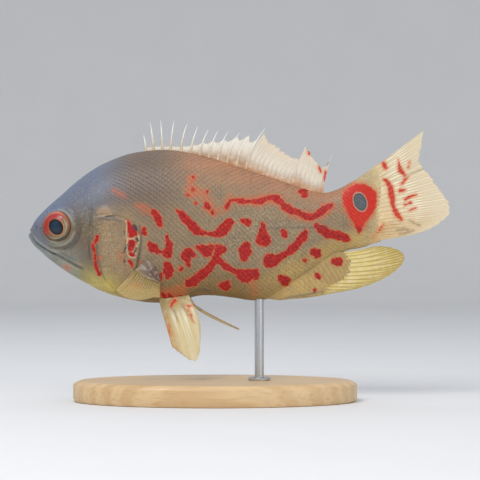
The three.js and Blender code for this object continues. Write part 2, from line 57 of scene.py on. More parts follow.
BACK_LINE = [
    (0, 0.7), (0.9, 4.3), (2.8, 7.6), (7.7, 12.8), (12.9, 17.3), (20.6, 24.1), (28.4, 29.6), (36.1, 33.3),
    (44.7, 36), (58.1, 37.2), (68.4, 36), (79.6, 33.3), (90.3, 29.9), (101.1, 26.4), (114.4, 21.9),
    (125.5, 18.8), (131.2, 19.9), (137.6, 23.1), (142.8, 26.4), (147, 29.6), (FLESH_END, 31.8),
]
BELLY_LINE = [
    (0, -0.6), (1.3, -2.8), (5.2, -7.4), (10.3, -11.8), (20.6, -18.6), (32.3, -24.5), (45, -28),
    (56, -28.9), (64.5, -27.7), (73.1, -25.8), (79.6, -25.8), (88.2, -26.8), (95.5, -27.9), (101.5, -27.4),
    (109.7, -22.9), (120.4, -15.9), (129, -9.6), (135.5, -6.6), (142.8, -5.2), (147, -3.7),
    (FLESH_END, -2.6),
]
HALF_WIDTH = [
    (0, 1), (0.5, 2.7), (1.7, 4.5), (4.3, 6.3), (8.6, 7.9), (12.9, 9.1), (19.4, 10.9), (27.9, 12.7),
    (36.5, 13.6), (47.3, 13.9), (60.2, 13.4), (73.1, 12.5), (86, 11.3), (98.9, 9.8), (111.8, 8), (124.7, 6),
    (135.5, 4.1), (142.8, 2.2), (147, 1.15), (FLESH_END, 0.3),
]
WIDEST_LEVEL = [(0, 0.5), (12.9, 0.5), (30, 0.46), (60, 0.52), (100, 0.56), (142.8, 0.5), (FLESH_END, 0.5)]
SHARP_ABOVE = [
    (0, 0.9), (20, 0.95), (40, 1.05), (60, 1.25), (100, 1.3), (122, 1.15), (142.8, 0.8), (FLESH_END, 0.5),
]
SHARP_BELOW = [
    (0, 0.9), (25, 0.85), (60, 0.82), (90, 0.9), (103, 1.15), (122, 1.2), (142.8, 0.8), (FLESH_END, 0.5),
]

PHOTO_PIXEL = 0.43
SNOUT_PIXEL = (30, 236)


def through(points):
    """A smooth curve through (at, value) points, as a function of arrays."""
    at, value = np.array(points, float).T
    slope = np.empty(len(at))
    slope[1:-1] = (value[2:] - value[:-2]) / (at[2:] - at[:-2])
    slope[0] = (value[1] - value[0]) / (at[1] - at[0])
    slope[-1] = (value[-1] - value[-2]) / (at[-1] - at[-2])

    def curve(x):
        x = np.clip(x, at[0], at[-1])
        i = np.clip(np.searchsorted(at, x) - 1, 0, len(at) - 2)
        span = at[i + 1] - at[i]
        t = (x - at[i]) / span
        ease = t * t * (3 - 2 * t)
        leave = slope[i] * span * t * (1 - t) ** 2
        arrive = slope[i + 1] * span * t * t * (t - 1)
        return value[i] + (value[i + 1] - value[i]) * ease + leave + arrive

    return curve


back = through(BACK_LINE)
belly = through(BELLY_LINE)
half_width = through(HALF_WIDTH)
widest_level = through(WIDEST_LEVEL)
sharp_above = through(SHARP_ABOVE)
sharp_below = through(SHARP_BELOW)


def smooth(low, high, x):
    """0 below low and 1 above high, with a soft step between."""
    t = np.clip((x - low) / (high - low), 0, 1)
    return t * t * (3 - 2 * t)


def bell(x, width):
    return np.exp(-((x / width) ** 2))


def place(px, py):
    """The fish's x and z at a pixel of the photograph."""
    return (px - SNOUT_PIXEL[0]) * PHOTO_PIXEL, (SNOUT_PIXEL[1] - py) * PHOTO_PIXEL


def flank(x, z):
    """How far the bare body's side stands from the mid-plane."""
    top, bottom = back(x), belly(x)
    middle = bottom + widest_level(x) * (top - bottom)
    below = z < middle
    lift = np.where(below, (middle - z) / (middle - bottom), (z - middle) / (top - middle))
    sharp = np.where(below, sharp_below(x), sharp_above(x))
    return half_width(x) * np.clip(1 - lift * lift, 0, 1) ** (sharp / 2)


def bare_body(x, step):
    """Points of the bare body: step 0 is the belly, 1 the back up the left side, and it goes on down the right."""
    top, bottom = back(x) - SKIN_INSET, belly(x) + SKIN_INSET
    middle = bottom + widest_level(x) * (top - bottom)
    rise = -np.cos(np.pi * step)
    round_it = np.sin(np.pi * step)
    z = middle + rise * np.where(rise < 0, middle - bottom, top - middle)
    sharp = np.where(rise < 0, sharp_below(x), sharp_above(x))
    width = half_width(x) - min(SKIN_INSET, 0.3) * smooth(0, 1, half_width(x) / 2)
    y = -width * np.sign(round_it) * np.abs(round_it) ** sharp
    return np.stack(np.broadcast_arrays(x, y, z), axis=-1)


def outwards(surface, x, step):
    """The outward normal of a surface given as a function of x and step."""
    dx, ds = 0.05, 0.0015
    along = surface(x + dx, step) - surface(x - dx, step)
    around = surface(x, step + ds) - surface(x, step - ds)
    normal = np.cross(along, around)
    return normal / np.maximum(np.linalg.norm(normal, axis=-1, keepdims=True), 1e-9)


def from_line(line, x, z):
    """Distance from points to a line of (x, z) points, and the side they are on: positive to its left."""
    best = np.full(np.shape(x), 1e9)
    side = np.zeros(np.shape(x))
    for (ax, az), (bx, bz) in zip(line, line[1:]):
        dx, dz = bx - ax, bz - az
        t = np.clip(((x - ax) * dx + (z - az) * dz) / (dx * dx + dz * dz), 0, 1)
        away = np.hypot(x - ax - t * dx, z - az - t * dz)
        closer = away < best
        side = np.where(closer, np.sign(dx * (z - az) - dz * (x - ax)), side)
        best = np.where(closer, away, best)
    return best, side


def curved(points, count=40):
    """A line of many points, smooth through a few."""
    points = np.array(points, float)
    knots = np.arange(len(points))
    at = np.linspace(0, len(points) - 1, count)
    return list(zip(through(list(zip(knots, points[:, 0])))(at), through(list(zip(knots, points[:, 1])))(at)))


EYE_CENTRE = (12.6, 3.9)
EYE_OPENING = 6.1
MOUTH = curved([(-0.8, 1.9), (0.7, 1.2), (1.7, -1.1), (3.4, -3.1), (6.6, -5.3), (10, -7.3), (11.6, -8.1)])
JAW_GROOVE = curved([(11.2, -7.9), (15.5, -10.4), (19.8, -12.7), (23, -14)])
SNOUT_FOLD = curved([(1.6, 5), (4.4, 1.6), (8.2, -2.6), (12.4, -6.8)])
CHEEK_LINE = curved([(26.6, 5), (26.1, -1), (26.3, -6), (26.9, -10)])
CHEEK_EDGE = curved([(28.9, 4.6), (28.9, -3.7), (29.9, -11.2), (32.9, -18.7), (36.3, -22)])
BONY_EDGE = curved([(36, 7.4), (40.6, 6.6), (42.1, 2), (41.9, -4), (41.4, -10), (41.8, -15)])
GILL_EDGE = curved(
    [(33, 8.2), (38.7, 8), (43, 6.4), (46.6, 3.4), (47.9, -1), (47.5, -6.6), (46.6, -12), (45, -18),
     (41, -21.4), (36, -23.6), (29, -22.6), (22, -18.4)]
)
TEMPLE_PATCH = (32.7, 8.6, 3.9)
NOSTRILS = [(3.1, 3.6, 0.5), (5.4, 3.1, 0.4)]


def relief(x, z):
    """How far the skin stands above the bare body at x and z on either side."""
    up = np.zeros(np.broadcast(x, z).shape)

    # Lips roll out on both sides of a deep slit.
    away, side = from_line(MOUTH, x, z)
    fade = smooth(15, 9, x)
    up += fade * np.where(side > 0, 0.42, 0.5) * bell(away - 1.05, 0.75)
    up -= 1.1 * bell(away, 0.3) * smooth(12.4, 10, x)
    up -= 0.22 * bell(away - 2.5, 0.45) * fade * (side < 0)
    up -= 0.5 * bell(from_line(JAW_GROOVE, x, z)[0], 0.55)
    up += 0.25 * bell(from_line(JAW_GROOVE, x, z - 1.4)[0], 0.9)
    up -= 0.16 * bell(from_line(SNOUT_FOLD, x, z)[0], 0.4)
    for nx, nz, size in NOSTRILS:
        from_hole = np.hypot(x - nx, z - nz)
        up += 0.16 * bell(from_hole - size * 1.5, 0.25) - 0.7 * bell(from_hole, size)

    # The eye sits in a round socket with a soft rim, fuller behind and below.
    ex, ez = x - EYE_CENTRE[0], z - EYE_CENTRE[1]
    r = np.hypot(ex, ez)
    behind = smooth(-0.5, 0.7, (0.75 * ex - 0.66 * ez) / np.maximum(r, 0.1))
    up -= 3.6 * smooth(EYE_OPENING + 0.35, EYE_OPENING - 0.9, r)
    up += 0.5 * bell(r - EYE_OPENING - 0.55, 0.5)
    up += 0.75 * behind * smooth(9.4, 8.2, r) * smooth(EYE_OPENING - 1, EYE_OPENING + 0.4, r)
    up -= 0.5 * behind * bell(r - 9.7, 0.7)

    # Cheek bones and gill cover overlap backwards, each plate's rear edge standing over the next.
    head = smooth(20, 24, x)
    up -= 0.28 * bell(from_line(CHEEK_LINE, x, z)[0], 0.3) * smooth(2.5, -0.5, z)
    away, side = from_line(CHEEK_EDGE, x, z)
    up += 0.42 * (side < 0) * bell(away, 2.4) * head
    up -= 0.3 * bell(away, 0.35)
    away, side = from_line(BONY_EDGE, x, z)
    up += 0.3 * (side < 0) * bell(away, 2.2)
    up -= 0.2 * bell(away, 0.3)
    away, side = from_line(GILL_EDGE, x, z)
    inside = side < 0
    up += 0.7 * inside * bell(away, 5) * smooth(26, 34, x)
    up -= 0.45 * (~inside) * bell(away, 0.55) * smooth(24, 30, x)
    up -= 0.14 * bell(from_line(GILL_EDGE, x, z + 2.6)[0], 0.4) * smooth(-12, -17, z)

    px, pz, size = TEMPLE_PATCH
    half_disc = np.maximum(np.hypot(x - px, z - pz) - size, pz - z)
    up += 0.5 * smooth(0.5, -0.9, half_disc)
    up -= 0.3 * bell(half_disc, 0.35) * (z < pz + 1)
    return up


def swing(points):
    """The fish's points bent with the tail's sideways swing."""
    bent = np.array(points, float)
    t = np.clip((bent[..., 0] - SWING_START) / (FISH_LENGTH - SWING_START), 0, None)
    bent[..., 1] -= SWING * t * t
    return bent


def skin_surface(x, step):
    """Points of the skin with all its relief, before the tail's swing."""
    points = bare_body(x, step)
    normal = outwards(bare_body, x, step)
    lift = relief(points[..., 0], points[..., 2]) * smooth(0, 1.2, np.abs(points[..., 1]))
    return points + normal * lift[..., None]


# Painted marks, and painted shade and sheen, as strokes of (x, y, width) pixels in the photograph. Those of
# the flank sit elsewhere on the right side.
RED_FLANK = {
    "shoulder bar": [(154.6, 211, 4), (156.6, 214, 6.4), (159, 219, 7.4), (162, 225.6, 4.6)],
    "shoulder dot": [(145.4, 229.4, 4.4), (145.8, 233.6, 4.4)],
    "fin base wedge": [(151.4, 244.4, 5), (154.6, 248, 9.4), (158, 250.6, 6), (163, 252.4, 2.4)],
    "fin base cluster": [
        (168, 236.4, 2.4), (168.6, 240.6, 4), (170.4, 245.4, 7), (169.6, 250.4, 7.4), (168.4, 253.6, 9),
        (165, 254.6, 3),
    ],
    "fin base blot": [(168.4, 264.6, 7), (169.4, 269.6, 10.6), (169.8, 274, 7.4), (168, 277.6, 4)],
    "fin base drop": [(161.6, 273.6, 2.4), (161.2, 278.6, 3.6)],
    "small dot": [(181, 266.4, 2.6), (181.8, 269.4, 3.6)],
    "comma": [
        (190.6, 266.4, 1.6), (188.6, 261.6, 5), (186.6, 255.4, 10), (189.4, 252, 8), (194.4, 254.6, 4.4),
    ],
    "first wave": [
        (178.4, 211.4, 3), (181.6, 214, 6), (184.6, 217.6, 7.6), (189.4, 222, 7.4), (193, 226.4, 9.4),
        (197, 230, 8.4), (202.6, 233.4, 6), (208.6, 234, 2.4), (213, 234.4, 4), (218.6, 233.6, 8),
        (222.6, 230.6, 10.4), (226.4, 226.6, 9.6), (229.4, 222.6, 8), (231.6, 221.6, 5),
    ],
    "dot over wave": [(194, 177.4, 2.2), (194.6, 179, 2.4)],
    "dot under it": [(193.8, 190.2, 4), (195, 191.6, 3.6)],
    "dot by it": [(188.3, 195.6, 2.6), (189, 196.6, 2)],
    "third dot": [(196, 203.4, 2.6), (196.6, 204.6, 2)],
    "fourth dot": [(208, 191.6, 2.2), (208.2, 193, 3)],
    "pair, upper": [(207, 204, 3.6), (208, 207.4, 6), (209.4, 210, 3)],
    "pair, lower": [(212.6, 211, 2), (213.6, 213.6, 3)],
    "second wave": [
        (226.6, 208.4, 3.4), (227.8, 205, 4), (231.4, 200.4, 1.6), (236.6, 200.8, 2.8), (241, 201.8, 5.4),
        (246, 202, 4.4), (249.6, 201.6, 2.4), (254, 202.4, 4.4), (259.4, 201.8, 6.6), (264, 200.4, 5),
        (268.4, 197.6, 3.6), (273, 198.4, 5.6), (277, 199.4, 8.4), (281.4, 204, 5), (284.6, 207.6, 7),
        (290, 210.4, 7.6), (295, 211.6, 6), (300.4, 214.6, 5.4), (306, 217, 6.4), (312, 218, 5),
        (317.6, 214.6, 5.8), (322.4, 210.6, 7), (327.4, 206.8, 6.4), (331, 205, 3),
    ],
    "ring under back fin": [(300.6, 192, 4.6), (304.6, 191.6, 5.6), (304.4, 195.6, 5), (302.6, 196.6, 3)],
    "rear bar": [
        (316, 226.4, 6), (321, 229.4, 9), (327, 233.6, 9.6), (333, 234.4, 7.4), (339, 235.8, 9),
        (346, 238.6, 7),
    ],
    "slanting bar": [
        (305, 231.4, 4.6), (303.4, 235.6, 7), (300.4, 239.4, 8), (296, 245, 7), (291.6, 249, 8.4),
        (286, 253.4, 6), (280, 256.6, 7), (274.4, 260.4, 10), (270, 260.4, 14),
    ],
    "dot above slant": [(283, 231.4, 5), (284, 235, 6)],
    "round dot": [(313, 251.6, 7), (316.6, 253.4, 8.4)],
    "dot beside it": [(304, 260.1, 3.4), (305, 261, 3)],
    "low blot": [(281, 278.4, 7), (285, 280.4, 10.4)],
    "keel blot": [(333.6, 261, 6), (338, 262, 8)],
    "keel smudge": [(316.4, 274.2, 4.4), (317.8, 277, 5.4)],
    "keel speck": [(314.2, 289.2, 2.2), (314.8, 290.2, 2.6)],
    "middle blot": [(243, 220.8, 5), (247.6, 222.4, 7)],
    "wedge": [(262.6, 223.6, 3), (262.6, 229, 7), (262.4, 234, 9), (261, 240, 11), (264.6, 240.4, 12)],
    "big drop": [(246, 246, 8), (245, 251, 12.4), (244, 256.4, 9), (242.4, 258.4, 4)],
    "cross, left wing": [(198.6, 246.8, 4), (203, 248.6, 8), (207.6, 251.4, 10), (211, 247, 5)],
    "cross, right wing": [(217, 246.6, 4), (220, 249.4, 8.4), (217.6, 254, 6.4), (224.6, 248.4, 4)],
    "cross, lower left": [
        (215.4, 258.6, 5), (212.6, 263.6, 7.6), (208.6, 269, 7), (204, 273.4, 9), (199.4, 276.4, 7.6),
        (194, 281, 9.4), (189, 283, 8), (187.4, 280.4, 4),
    ],
    "cross, lower right": [
        (216, 257.6, 6), (221, 261.4, 6), (226, 266.4, 6.4), (231, 269.4, 5), (236.4, 271.6, 4),
        (241, 273.6, 10), (246, 275.6, 14), (251, 274, 10.4), (255.4, 272.6, 7), (255.4, 277.4, 6),
    ],
    "belly blot": [(222, 284.6, 6), (226, 285.6, 9), (229.4, 281.4, 2.4)],
    "keel mark, left": [(163.4, 294, 3.4), (165.6, 296.6, 3.8)],
    "keel mark, middle": [(169, 293.4, 3.4), (170.6, 296, 4), (174, 296.4, 2)],
    "keel mark, right": [(181.6, 295.6, 3), (178, 298.2, 4.4), (175.2, 300.6, 5), (172.4, 303, 3.4)],
}
RED_FIXED = {
    "cheek streak, front lobe": [(99.6, 236.4, 2.4), (98.8, 240.4, 4), (97.4, 243.4, 2)],
    "cheek streak": [
        (95, 242.4, 1.4), (95.4, 246, 2.4), (96.4, 251, 1.6), (96.8, 256, 2.4), (97.4, 261.4, 1.6),
        (98.6, 267, 2.8), (100.6, 273.4, 3.2),
    ],
    "cheek speck": [(101.6, 256.6, 1.2), (102.2, 259.4, 1.4)],
    "gill patch, top": [
        (130, 221.6, 2), (131.6, 226, 5), (133.6, 230.6, 8.4), (136.4, 233, 6), (134, 236, 6),
    ],
    "gill patch, middle": [(132, 241.6, 5.6), (136, 242.6, 3), (133, 247.6, 6), (131.6, 249.6, 3)],
    "gill patch, low": [(132, 254, 3), (134.6, 255, 4), (136, 252, 2)],
    "gill smudge": [(130.6, 259.8, 2), (133.4, 263, 2), (134.4, 266.6, 1.4)],
    "gill speck": [(142.6, 261.4, 1.4), (142.9, 266.6, 1.4)],
    "eyespot": [
        (357.4, 199.6, 30), (361.6, 199.8, 29), (359.4, 206, 28), (358.4, 214, 20), (358.2, 224, 9),
        (358, 233.4, 2),
    ],
    "lip dot": [(67.4, 266, 1.4), (69, 267.6, 1.8)],
}
ORANGE = {
    "shoulder smear": [(138, 205, 1.6), (144, 208, 3), (152, 211.4, 3.4), (157, 214, 5)],
    "nape rust": [(117, 190, 1), (123, 195.6, 1.8), (130, 200.6, 1.2)],
    "dots' rust": [(191, 180, 8), (193, 192, 11), (206, 196, 9), (210, 208, 11), (214, 214, 8)],
    "wave's rust": [(227, 208, 7), (230, 201, 6), (246, 202, 8), (262, 201, 8), (276, 200, 10)],
    "wave's end": [(284, 208, 9), (300, 215, 8), (318, 215, 9), (330, 206, 8)],
    "drip": [(252, 279, 3), (254, 287, 3), (254.6, 294, 3)],
    "belly haze": [(164, 294, 6), (174, 292, 6), (184, 286.6, 5), (181, 296, 5)],
    "cross's heart": [(208, 250, 10), (214.4, 253, 8), (218, 250, 8)],
    "eyespot halo": [(359, 201.6, 38), (358.4, 216, 24)],
    "streak at tail": [(383, 224.4, 4), (378, 230.6, 4.4), (373.4, 237, 3.4)],
    "gill haze": [(122, 255, 2), (121, 260, 2)],
    "lip": [(66.6, 265.6, 3), (69, 267.6, 3)],
    "low rim": [(140, 285, 3), (128, 287, 3)],
}
NAVY = {
    # patch's shade: painted shade under the temple patch's lower edge.
    "patch's shade": [(104, 218, 0.6), (108, 217.2, 1), (113, 216.4, 1.2), (118, 216.2, 0.6)],
    "gill spot, top": [(135.4, 225.2, 2), (137.4, 228, 3.4), (138.6, 231, 2)],
    "gill spot, middle": [(138.4, 238.4, 1.6), (139.6, 240.6, 2.4)],
    "gill spot, low": [(137.8, 247.8, 1.6), (136.8, 250.6, 1.8), (136, 253, 1.4)],
    "gill rim, upper": [(126.9, 231.4, 0.8), (126.6, 235.4, 1)],
    "gill rim, lower": [(127, 244.4, 1), (127.8, 247.6, 1.6), (126, 251.4, 1.2), (124.6, 253, 0.8)],
    "gill dot": [(126.4, 260.2, 2), (126.9, 261.4, 2)],
    "gill spot, inner": [(129.6, 244.4, 1.4), (130, 246, 1)],
}
# Painted shade in the grooves, creases and folds, in the mouth's slit, under the fold behind the eye, round the
# temple patch and at the gill cover's edge. The lateral line's dark pores are drawn among them.
SHADE = {
    "cheek line": [(91.2, 236.4, 0.6), (91.8, 244, 1.4), (91.6, 251, 1.6), (91.3, 258, 0.8)],
    "streak's shade": [
        (98.6, 244, 0.6), (99.6, 254, 1), (100.8, 262.6, 1), (103.6, 272, 0.8), (106.6, 279, 0.4),
    ],
    "jaw groove": [(55.4, 252.4, 1), (62, 256.4, 2.4), (70, 260.6, 3.2), (78, 265.4, 2.6), (84, 269, 1)],
    "jaw groove, upper": [(62, 251.6, 0.8), (70, 256.6, 1.6), (78, 260.4, 1)],
    "behind the eye": [(66, 249, 2), (74, 246.6, 3.4), (80, 240, 3), (82.6, 230, 2), (80, 218, 0.6)],
    "under the patch": [(101, 219.6, 1), (108, 219.4, 2.6), (116, 219, 3), (122, 221.6, 2)],
    "patch's front": [(94.4, 208, 1), (93.4, 216, 2), (92.4, 226, 1.4)],
    "gill edge": [(141.4, 226, 1), (143, 236, 1.6), (142.6, 248, 1.6), (140, 260, 1)],
    "mouth": [(31.4, 233.4, 0.5), (34.6, 240.6, 1), (40, 246, 1), (46, 250, 0.8), (53, 254, 0.6)],
    "crease, front": [(257.8, 168.6, 0.4), (251.5, 178, 0.6)],
    "crease, rear": [(293.7, 178, 0.4), (289, 184, 0.8), (285, 189, 0.4)],
    "keel fold": [(196, 290, 0.6), (203, 288.6, 1), (210, 291, 0.6)],
    "keel edge": [(286, 297.6, 1), (306, 294.6, 1.6), (322, 291.6, 0.8)],
}
for i in range(13):
    pore_x, pore_y = 262 + 5 * i, 228.4 - 0.1 * i
    SHADE[f"lateral line {i}"] = [(pore_x, pore_y, 0.7), (pore_x + 2.6, pore_y, 0.5)]
# Painted sheen: pale grey-green strokes where the raised folds round the eye, the lips and the jaw catch the
# light.
FOLD_SHEEN = {
    "under the eye": [(54, 241, 1.6), (59.6, 243.8, 2.6), (67, 243.8, 3), (73, 240, 3), (76.4, 233, 2)],
    "over the eye": [(60, 209.4, 1), (66, 211, 1.6), (72, 217, 1.6), (76, 225, 1.2)],
    "upper lip": [(31, 231.6, 2), (35, 238, 2.4), (41, 243.6, 2), (48, 248.4, 1.4)],
    "lower lip": [(31.6, 237, 1.6), (36, 244, 2.6), (43, 250, 2.4), (52, 256, 2)],
    "jaw": [(60, 262, 3), (70, 268.6, 4), (80, 274, 3)],
    "below the groove": [(60, 258.6, 1), (70, 264, 1.6), (80, 269.4, 1)],
}
PALE = {
    "gill rim": [(128.2, 221, 0.7), (128.6, 228, 1), (128.2, 236, 0.8), (129.4, 240, 1), (128.6, 250, 0.9)],
    "gill spot rim": [
        (140.8, 235, 0.7), (141, 242, 0.8), (139.4, 245, 0.9), (134.6, 251.6, 0.9), (139, 254, 0.6),
    ],
    "gill bars": [(131, 238.6, 1), (135.6, 238.8, 0.9), (137.4, 236, 0.8)],
    "gill foot": [(129, 252, 0.8), (131.4, 257, 0.8), (137, 257.4, 0.8)],
    "patch's rim": [(101, 216.3, 0.6), (106, 216, 0.8), (113.6, 214.8, 0.7)],
}
# Where the hide is flecked with cream and dark, as (x, y, reach, strength).
FLECKED = [
    (58, 244, 14, 0.45), (78, 214, 18, 0.5), (50, 214, 12, 0.4), (96, 186, 22, 0.4), (70, 262, 16, 0.5),
    (100, 226, 16, 0.6), (110, 236, 16, 1), (118, 262, 16, 1), (104, 268, 12, 0.6), (160, 262, 22, 0.5),
    (206, 262, 26, 0.7), (240, 236, 30, 1), (280, 224, 30, 1), (300, 262, 26, 0.9), (376, 232, 26, 0.8),
    (380, 200, 14, 0.9), (336, 214, 16, 0.9),
]
EYESPOT_HEART = {"at": (359.4, 202), "half": (6, 8.8), "lean": 0.36}
# The right flank reads the left one's marks from another place, so that its own differ as on a real fish.
RIGHT_SHIFT = (7.5, -3.4)


def stroke_depth(strokes, x, z):
    """Signed distance in millimetres to the nearest of these strokes, negative inside."""
    best = np.full(np.shape(x), 50.0)
    for stroke in strokes.values():
        for (ax, ay, aw), (bx, by, bw) in zip(stroke, stroke[1:]):
            (x0, z0), (x1, z1) = place(ax, ay), place(bx, by)
            dx, dz = x1 - x0, z1 - z0
            t = np.clip(((x - x0) * dx + (z - z0) * dz) / (dx * dx + dz * dz), 0, 1)
            radius = (aw + (bw - aw) * t) * PHOTO_PIXEL / 2
            best = np.minimum(best, np.hypot(x - x0 - t * dx, z - z0 - t * dz) - radius)
    return best


def srgb(red, green, blue):
    """A linear colour from a screen colour of 0 to 255."""
    return tuple(((c / 255 + 0.055) / 1.055) ** 2.4 if c > 10 else c / 3294.6 for c in (red, green, blue))


# Ground paints, laid over one another by place on the body: olive flanks, a dark nape, a rusty back, a
# blue-grey on the brow and snout that is a painted highlight of the bluish light from above, a yellow
# throat, and a golden keel and cream stalk towards the tail.
FLANK_OLIVE = srgb(145, 125, 100)
BACK_RUST = srgb(175, 125, 95)
NAPE_BROWN = srgb(110, 95, 85)
BELLY_BROWN = srgb(135, 110, 65)
KEEL_GOLD = srgb(190, 160, 100)
GILL_TAN = srgb(155, 130, 100)
CHEEK_OLIVE = srgb(105, 92, 75)
JAW_GREY = srgb(135, 138, 130)
BROW_HIGHLIGHT_BLUE = srgb(98, 112, 138)
THROAT_YELLOW = srgb(205, 190, 105)
TAIL_CREAM = srgb(210, 190, 145)


def ground_colour(x, z):
    """The ground colour at points of the side, by distance from the snout and level from belly to back, with a
    painted highlight on the brow and snout.
    """
    level = np.clip((z - belly(x)) / np.maximum(back(x) - belly(x), 1), 0, 1)
    colour = np.zeros(np.shape(x) + (3,)) + np.array(FLANK_OLIVE)
    for paint, share in (
        (BACK_RUST, smooth(0.7, 1, level) * smooth(50, 70, x)),
        (NAPE_BROWN, smooth(0.45, 0.75, level) * smooth(75, 50, x)),
        (BELLY_BROWN, smooth(0.32, 0.08, level)),
        (KEEL_GOLD, smooth(0.42, 0.1, level) * smooth(88, 114, x)),
        (GILL_TAN, smooth(0.72, 0.5, level) * smooth(0.05, 0.2, level) * smooth(48, 42, x)),
        (CHEEK_OLIVE, smooth(34, 27, x)),
        (JAW_GREY, smooth(0.45, 0.15, level) * smooth(30, 16, x)),
        # Painted highlight: the blue-grey on the brow and the snout stands for the bluish light from above on
        # them.
        (BROW_HIGHLIGHT_BLUE, smooth(0.5, 0.85, level) * smooth(48, 26, x)),
        (BROW_HIGHLIGHT_BLUE, 0.7 * smooth(12, 4, x)),
        (THROAT_YELLOW, smooth(0.25, 0.02, level) * bell(x - 31, 9)),
        (TAIL_CREAM, smooth(136, 152, x + 12 * (level - 0.5))),
    ):
        colour += share[..., None] * (np.array(paint) - colour)
    return colour


def flecked(x, z):
    """How strongly the hide is flecked at points of the side, 0 to 1."""
    total = np.zeros(np.shape(x))
    for px, py, reach, strength in FLECKED:
        cx, cz = place(px, py)
        total += strength * np.exp(-((x - cx) ** 2 + (z - cz) ** 2) / (reach * PHOTO_PIXEL) ** 2)
    return np.clip(total, 0, 1)


def painted(points):
    """What a point of skin, scale or fleshy fin root carries of the fish's markings and of its painted shade and
    sheen, by name.
    """
    x, y, z = np.moveaxis(np.asarray(points), -1, 0)
    right = y > 0
    flank_x = np.where(right, x + RIGHT_SHIFT[0] + 2 * np.sin(z / 7), x)
    flank_z = np.where(right, z + RIGHT_SHIFT[1] + 2.4 * np.sin(x / 9), z)
    heart = EYESPOT_HEART
    hx, hz = place(*heart["at"])
    lean = heart["lean"]
    across = (x - hx) * math.cos(lean) + (z - hz) * math.sin(lean)
    upright = -(x - hx) * math.sin(lean) + (z - hz) * math.cos(lean)
    wide, high = (half * PHOTO_PIXEL for half in heart["half"])
    patch_x, patch_z, size = TEMPLE_PATCH
    clear_of_spot = smooth(9, 10.5, np.hypot(x - hx, z - hz))
    flank_red = stroke_depth(RED_FLANK, flank_x, flank_z) + np.where(right, 6 * (1 - clear_of_spot), 0)
    on_head = np.where(right, 8 * smooth(50, 46, x), 0)
    return {
        "ground": ground_colour(x, z),
        "red_mark": np.minimum(flank_red + on_head, stroke_depth(RED_FIXED, x, z)),
        "orange_mark": stroke_depth(ORANGE, x, z),
        "navy_mark": stroke_depth(NAVY, x, z),
        "shade_mark": stroke_depth(SHADE, x, z),
        "fold_sheen_mark": stroke_depth(FOLD_SHEEN, x, z),
        "pale_mark": stroke_depth(PALE, x, z),
        "eyespot": (np.hypot(across / wide, upright / high) - 1) * wide,
        "flecked": flecked(x, z),
        "temple": np.maximum(np.hypot(x - patch_x, z - patch_z) - size, patch_z - z),
    }


def make_mesh(name, points, faces, values=None, uv=None, fish=True):
    """An object from points in millimetres and quads or triangles, with named values on its points."""
    points = np.asarray(points, float).reshape(-1, 3)
    if fish:
        points = swing(points) + JAW_TIP
    mesh = bpy.data.meshes.new(name)
    faces = faces if isinstance(faces, list) else np.asarray(faces).tolist()
    mesh.from_pydata((points * MM).tolist(), [], faces)
    mesh.polygons.foreach_set("use_smooth", np.ones(len(mesh.polygons), bool))
    for key, value in (values or {}).items():
        value = np.asarray(value, float)
        if value.shape[-1:] == (3,) and value.ndim > 1:
            rgba = np.ones((len(points), 4))
            rgba[:, :3] = value.reshape(-1, 3)
            layer = mesh.attributes.new(key, "FLOAT_COLOR", "POINT")
            layer.data.foreach_set("color", rgba.ravel().astype(np.float32))
        else:
            layer = mesh.attributes.new(key, "FLOAT", "POINT")
            layer.data.foreach_set("value", value.ravel().astype(np.float32))
    if uv is not None:
        layer = mesh.uv_layers.new(name="OFBake")
        corners = np.empty(len(mesh.loops), np.int32)
        mesh.loops.foreach_get("vertex_index", corners)
        layer.data.foreach_set("uv", np.asarray(uv, float).reshape(-1, 2)[corners].ravel().astype(np.float32))
    mesh.validate()
    made = bpy.data.objects.new(name, mesh)
    bpy.context.scene.collection.objects.link(made)
    return made


def quads(rows, columns, wrap=False):
    """The faces of a grid of rows by columns points, its columns closed into rings if wrap."""
    r = np.arange(rows - 1)[:, None] * columns
    c = np.arange(columns if wrap else columns - 1)[None, :]
    n = (c + 1) % columns
    return np.stack([r + c, r + n, r + columns + n, r + columns + c], axis=-1).reshape(-1, 4)


NOSE_STATIONS = 0.02 + 3 * np.linspace(0, 1, 26) ** 1.6
HEAD_STATIONS = np.arange(3.3, 51, 0.29)
BODY_STATIONS = np.linspace(51.3, FLESH_END, 66)
RING_POINTS = 368

stations = np.concatenate([NOSE_STATIONS, HEAD_STATIONS, BODY_STATIONS])
ring = np.arange(RING_POINTS) / RING_POINTS * 2
skin_points = skin_surface(stations[:, None], ring[None, :])
caps = [skin_points[0].mean(axis=0) - np.array([0.25, 0, 0]), skin_points[-1].mean(axis=0)]
skin_all = np.concatenate([skin_points.reshape(-1, 3), caps])
skin_faces = quads(len(stations), RING_POINTS, wrap=True).tolist()
last = (len(stations) - 1) * RING_POINTS
for i in range(RING_POINTS):
    after = (i + 1) % RING_POINTS
    skin_faces.append([after, i, len(skin_all) - 2])
    skin_faces.append([last + i, last + after, len(skin_all) - 1])


def body_unwrap(x, step):
    """A place in the unwrap of the skin's own shape."""
    return np.stack(np.broadcast_arrays(0.02 + 0.96 * x / FLESH_END, 0.12 + 0.42 * np.asarray(step)), axis=-1)


ring_uv = body_unwrap(stations[:, None], ring[None, :]).reshape(-1, 2)
skin_uv = np.concatenate([ring_uv, [[0.01, 0.3], [0.99, 0.3]]])
skin_values = painted(skin_all)
skin_values["scale_edge_shade"] = np.zeros(len(skin_all))
skin = make_mesh("skin", skin_all, skin_faces, skin_values, skin_uv)


def new_material(name):
    """A material with nodes: its tree, and the shader that its surface shows."""
    material = bpy.data.materials.new(name)
    material.use_nodes = True
    tree = material.node_tree
    return material, tree, tree.nodes["Principled BSDF"]


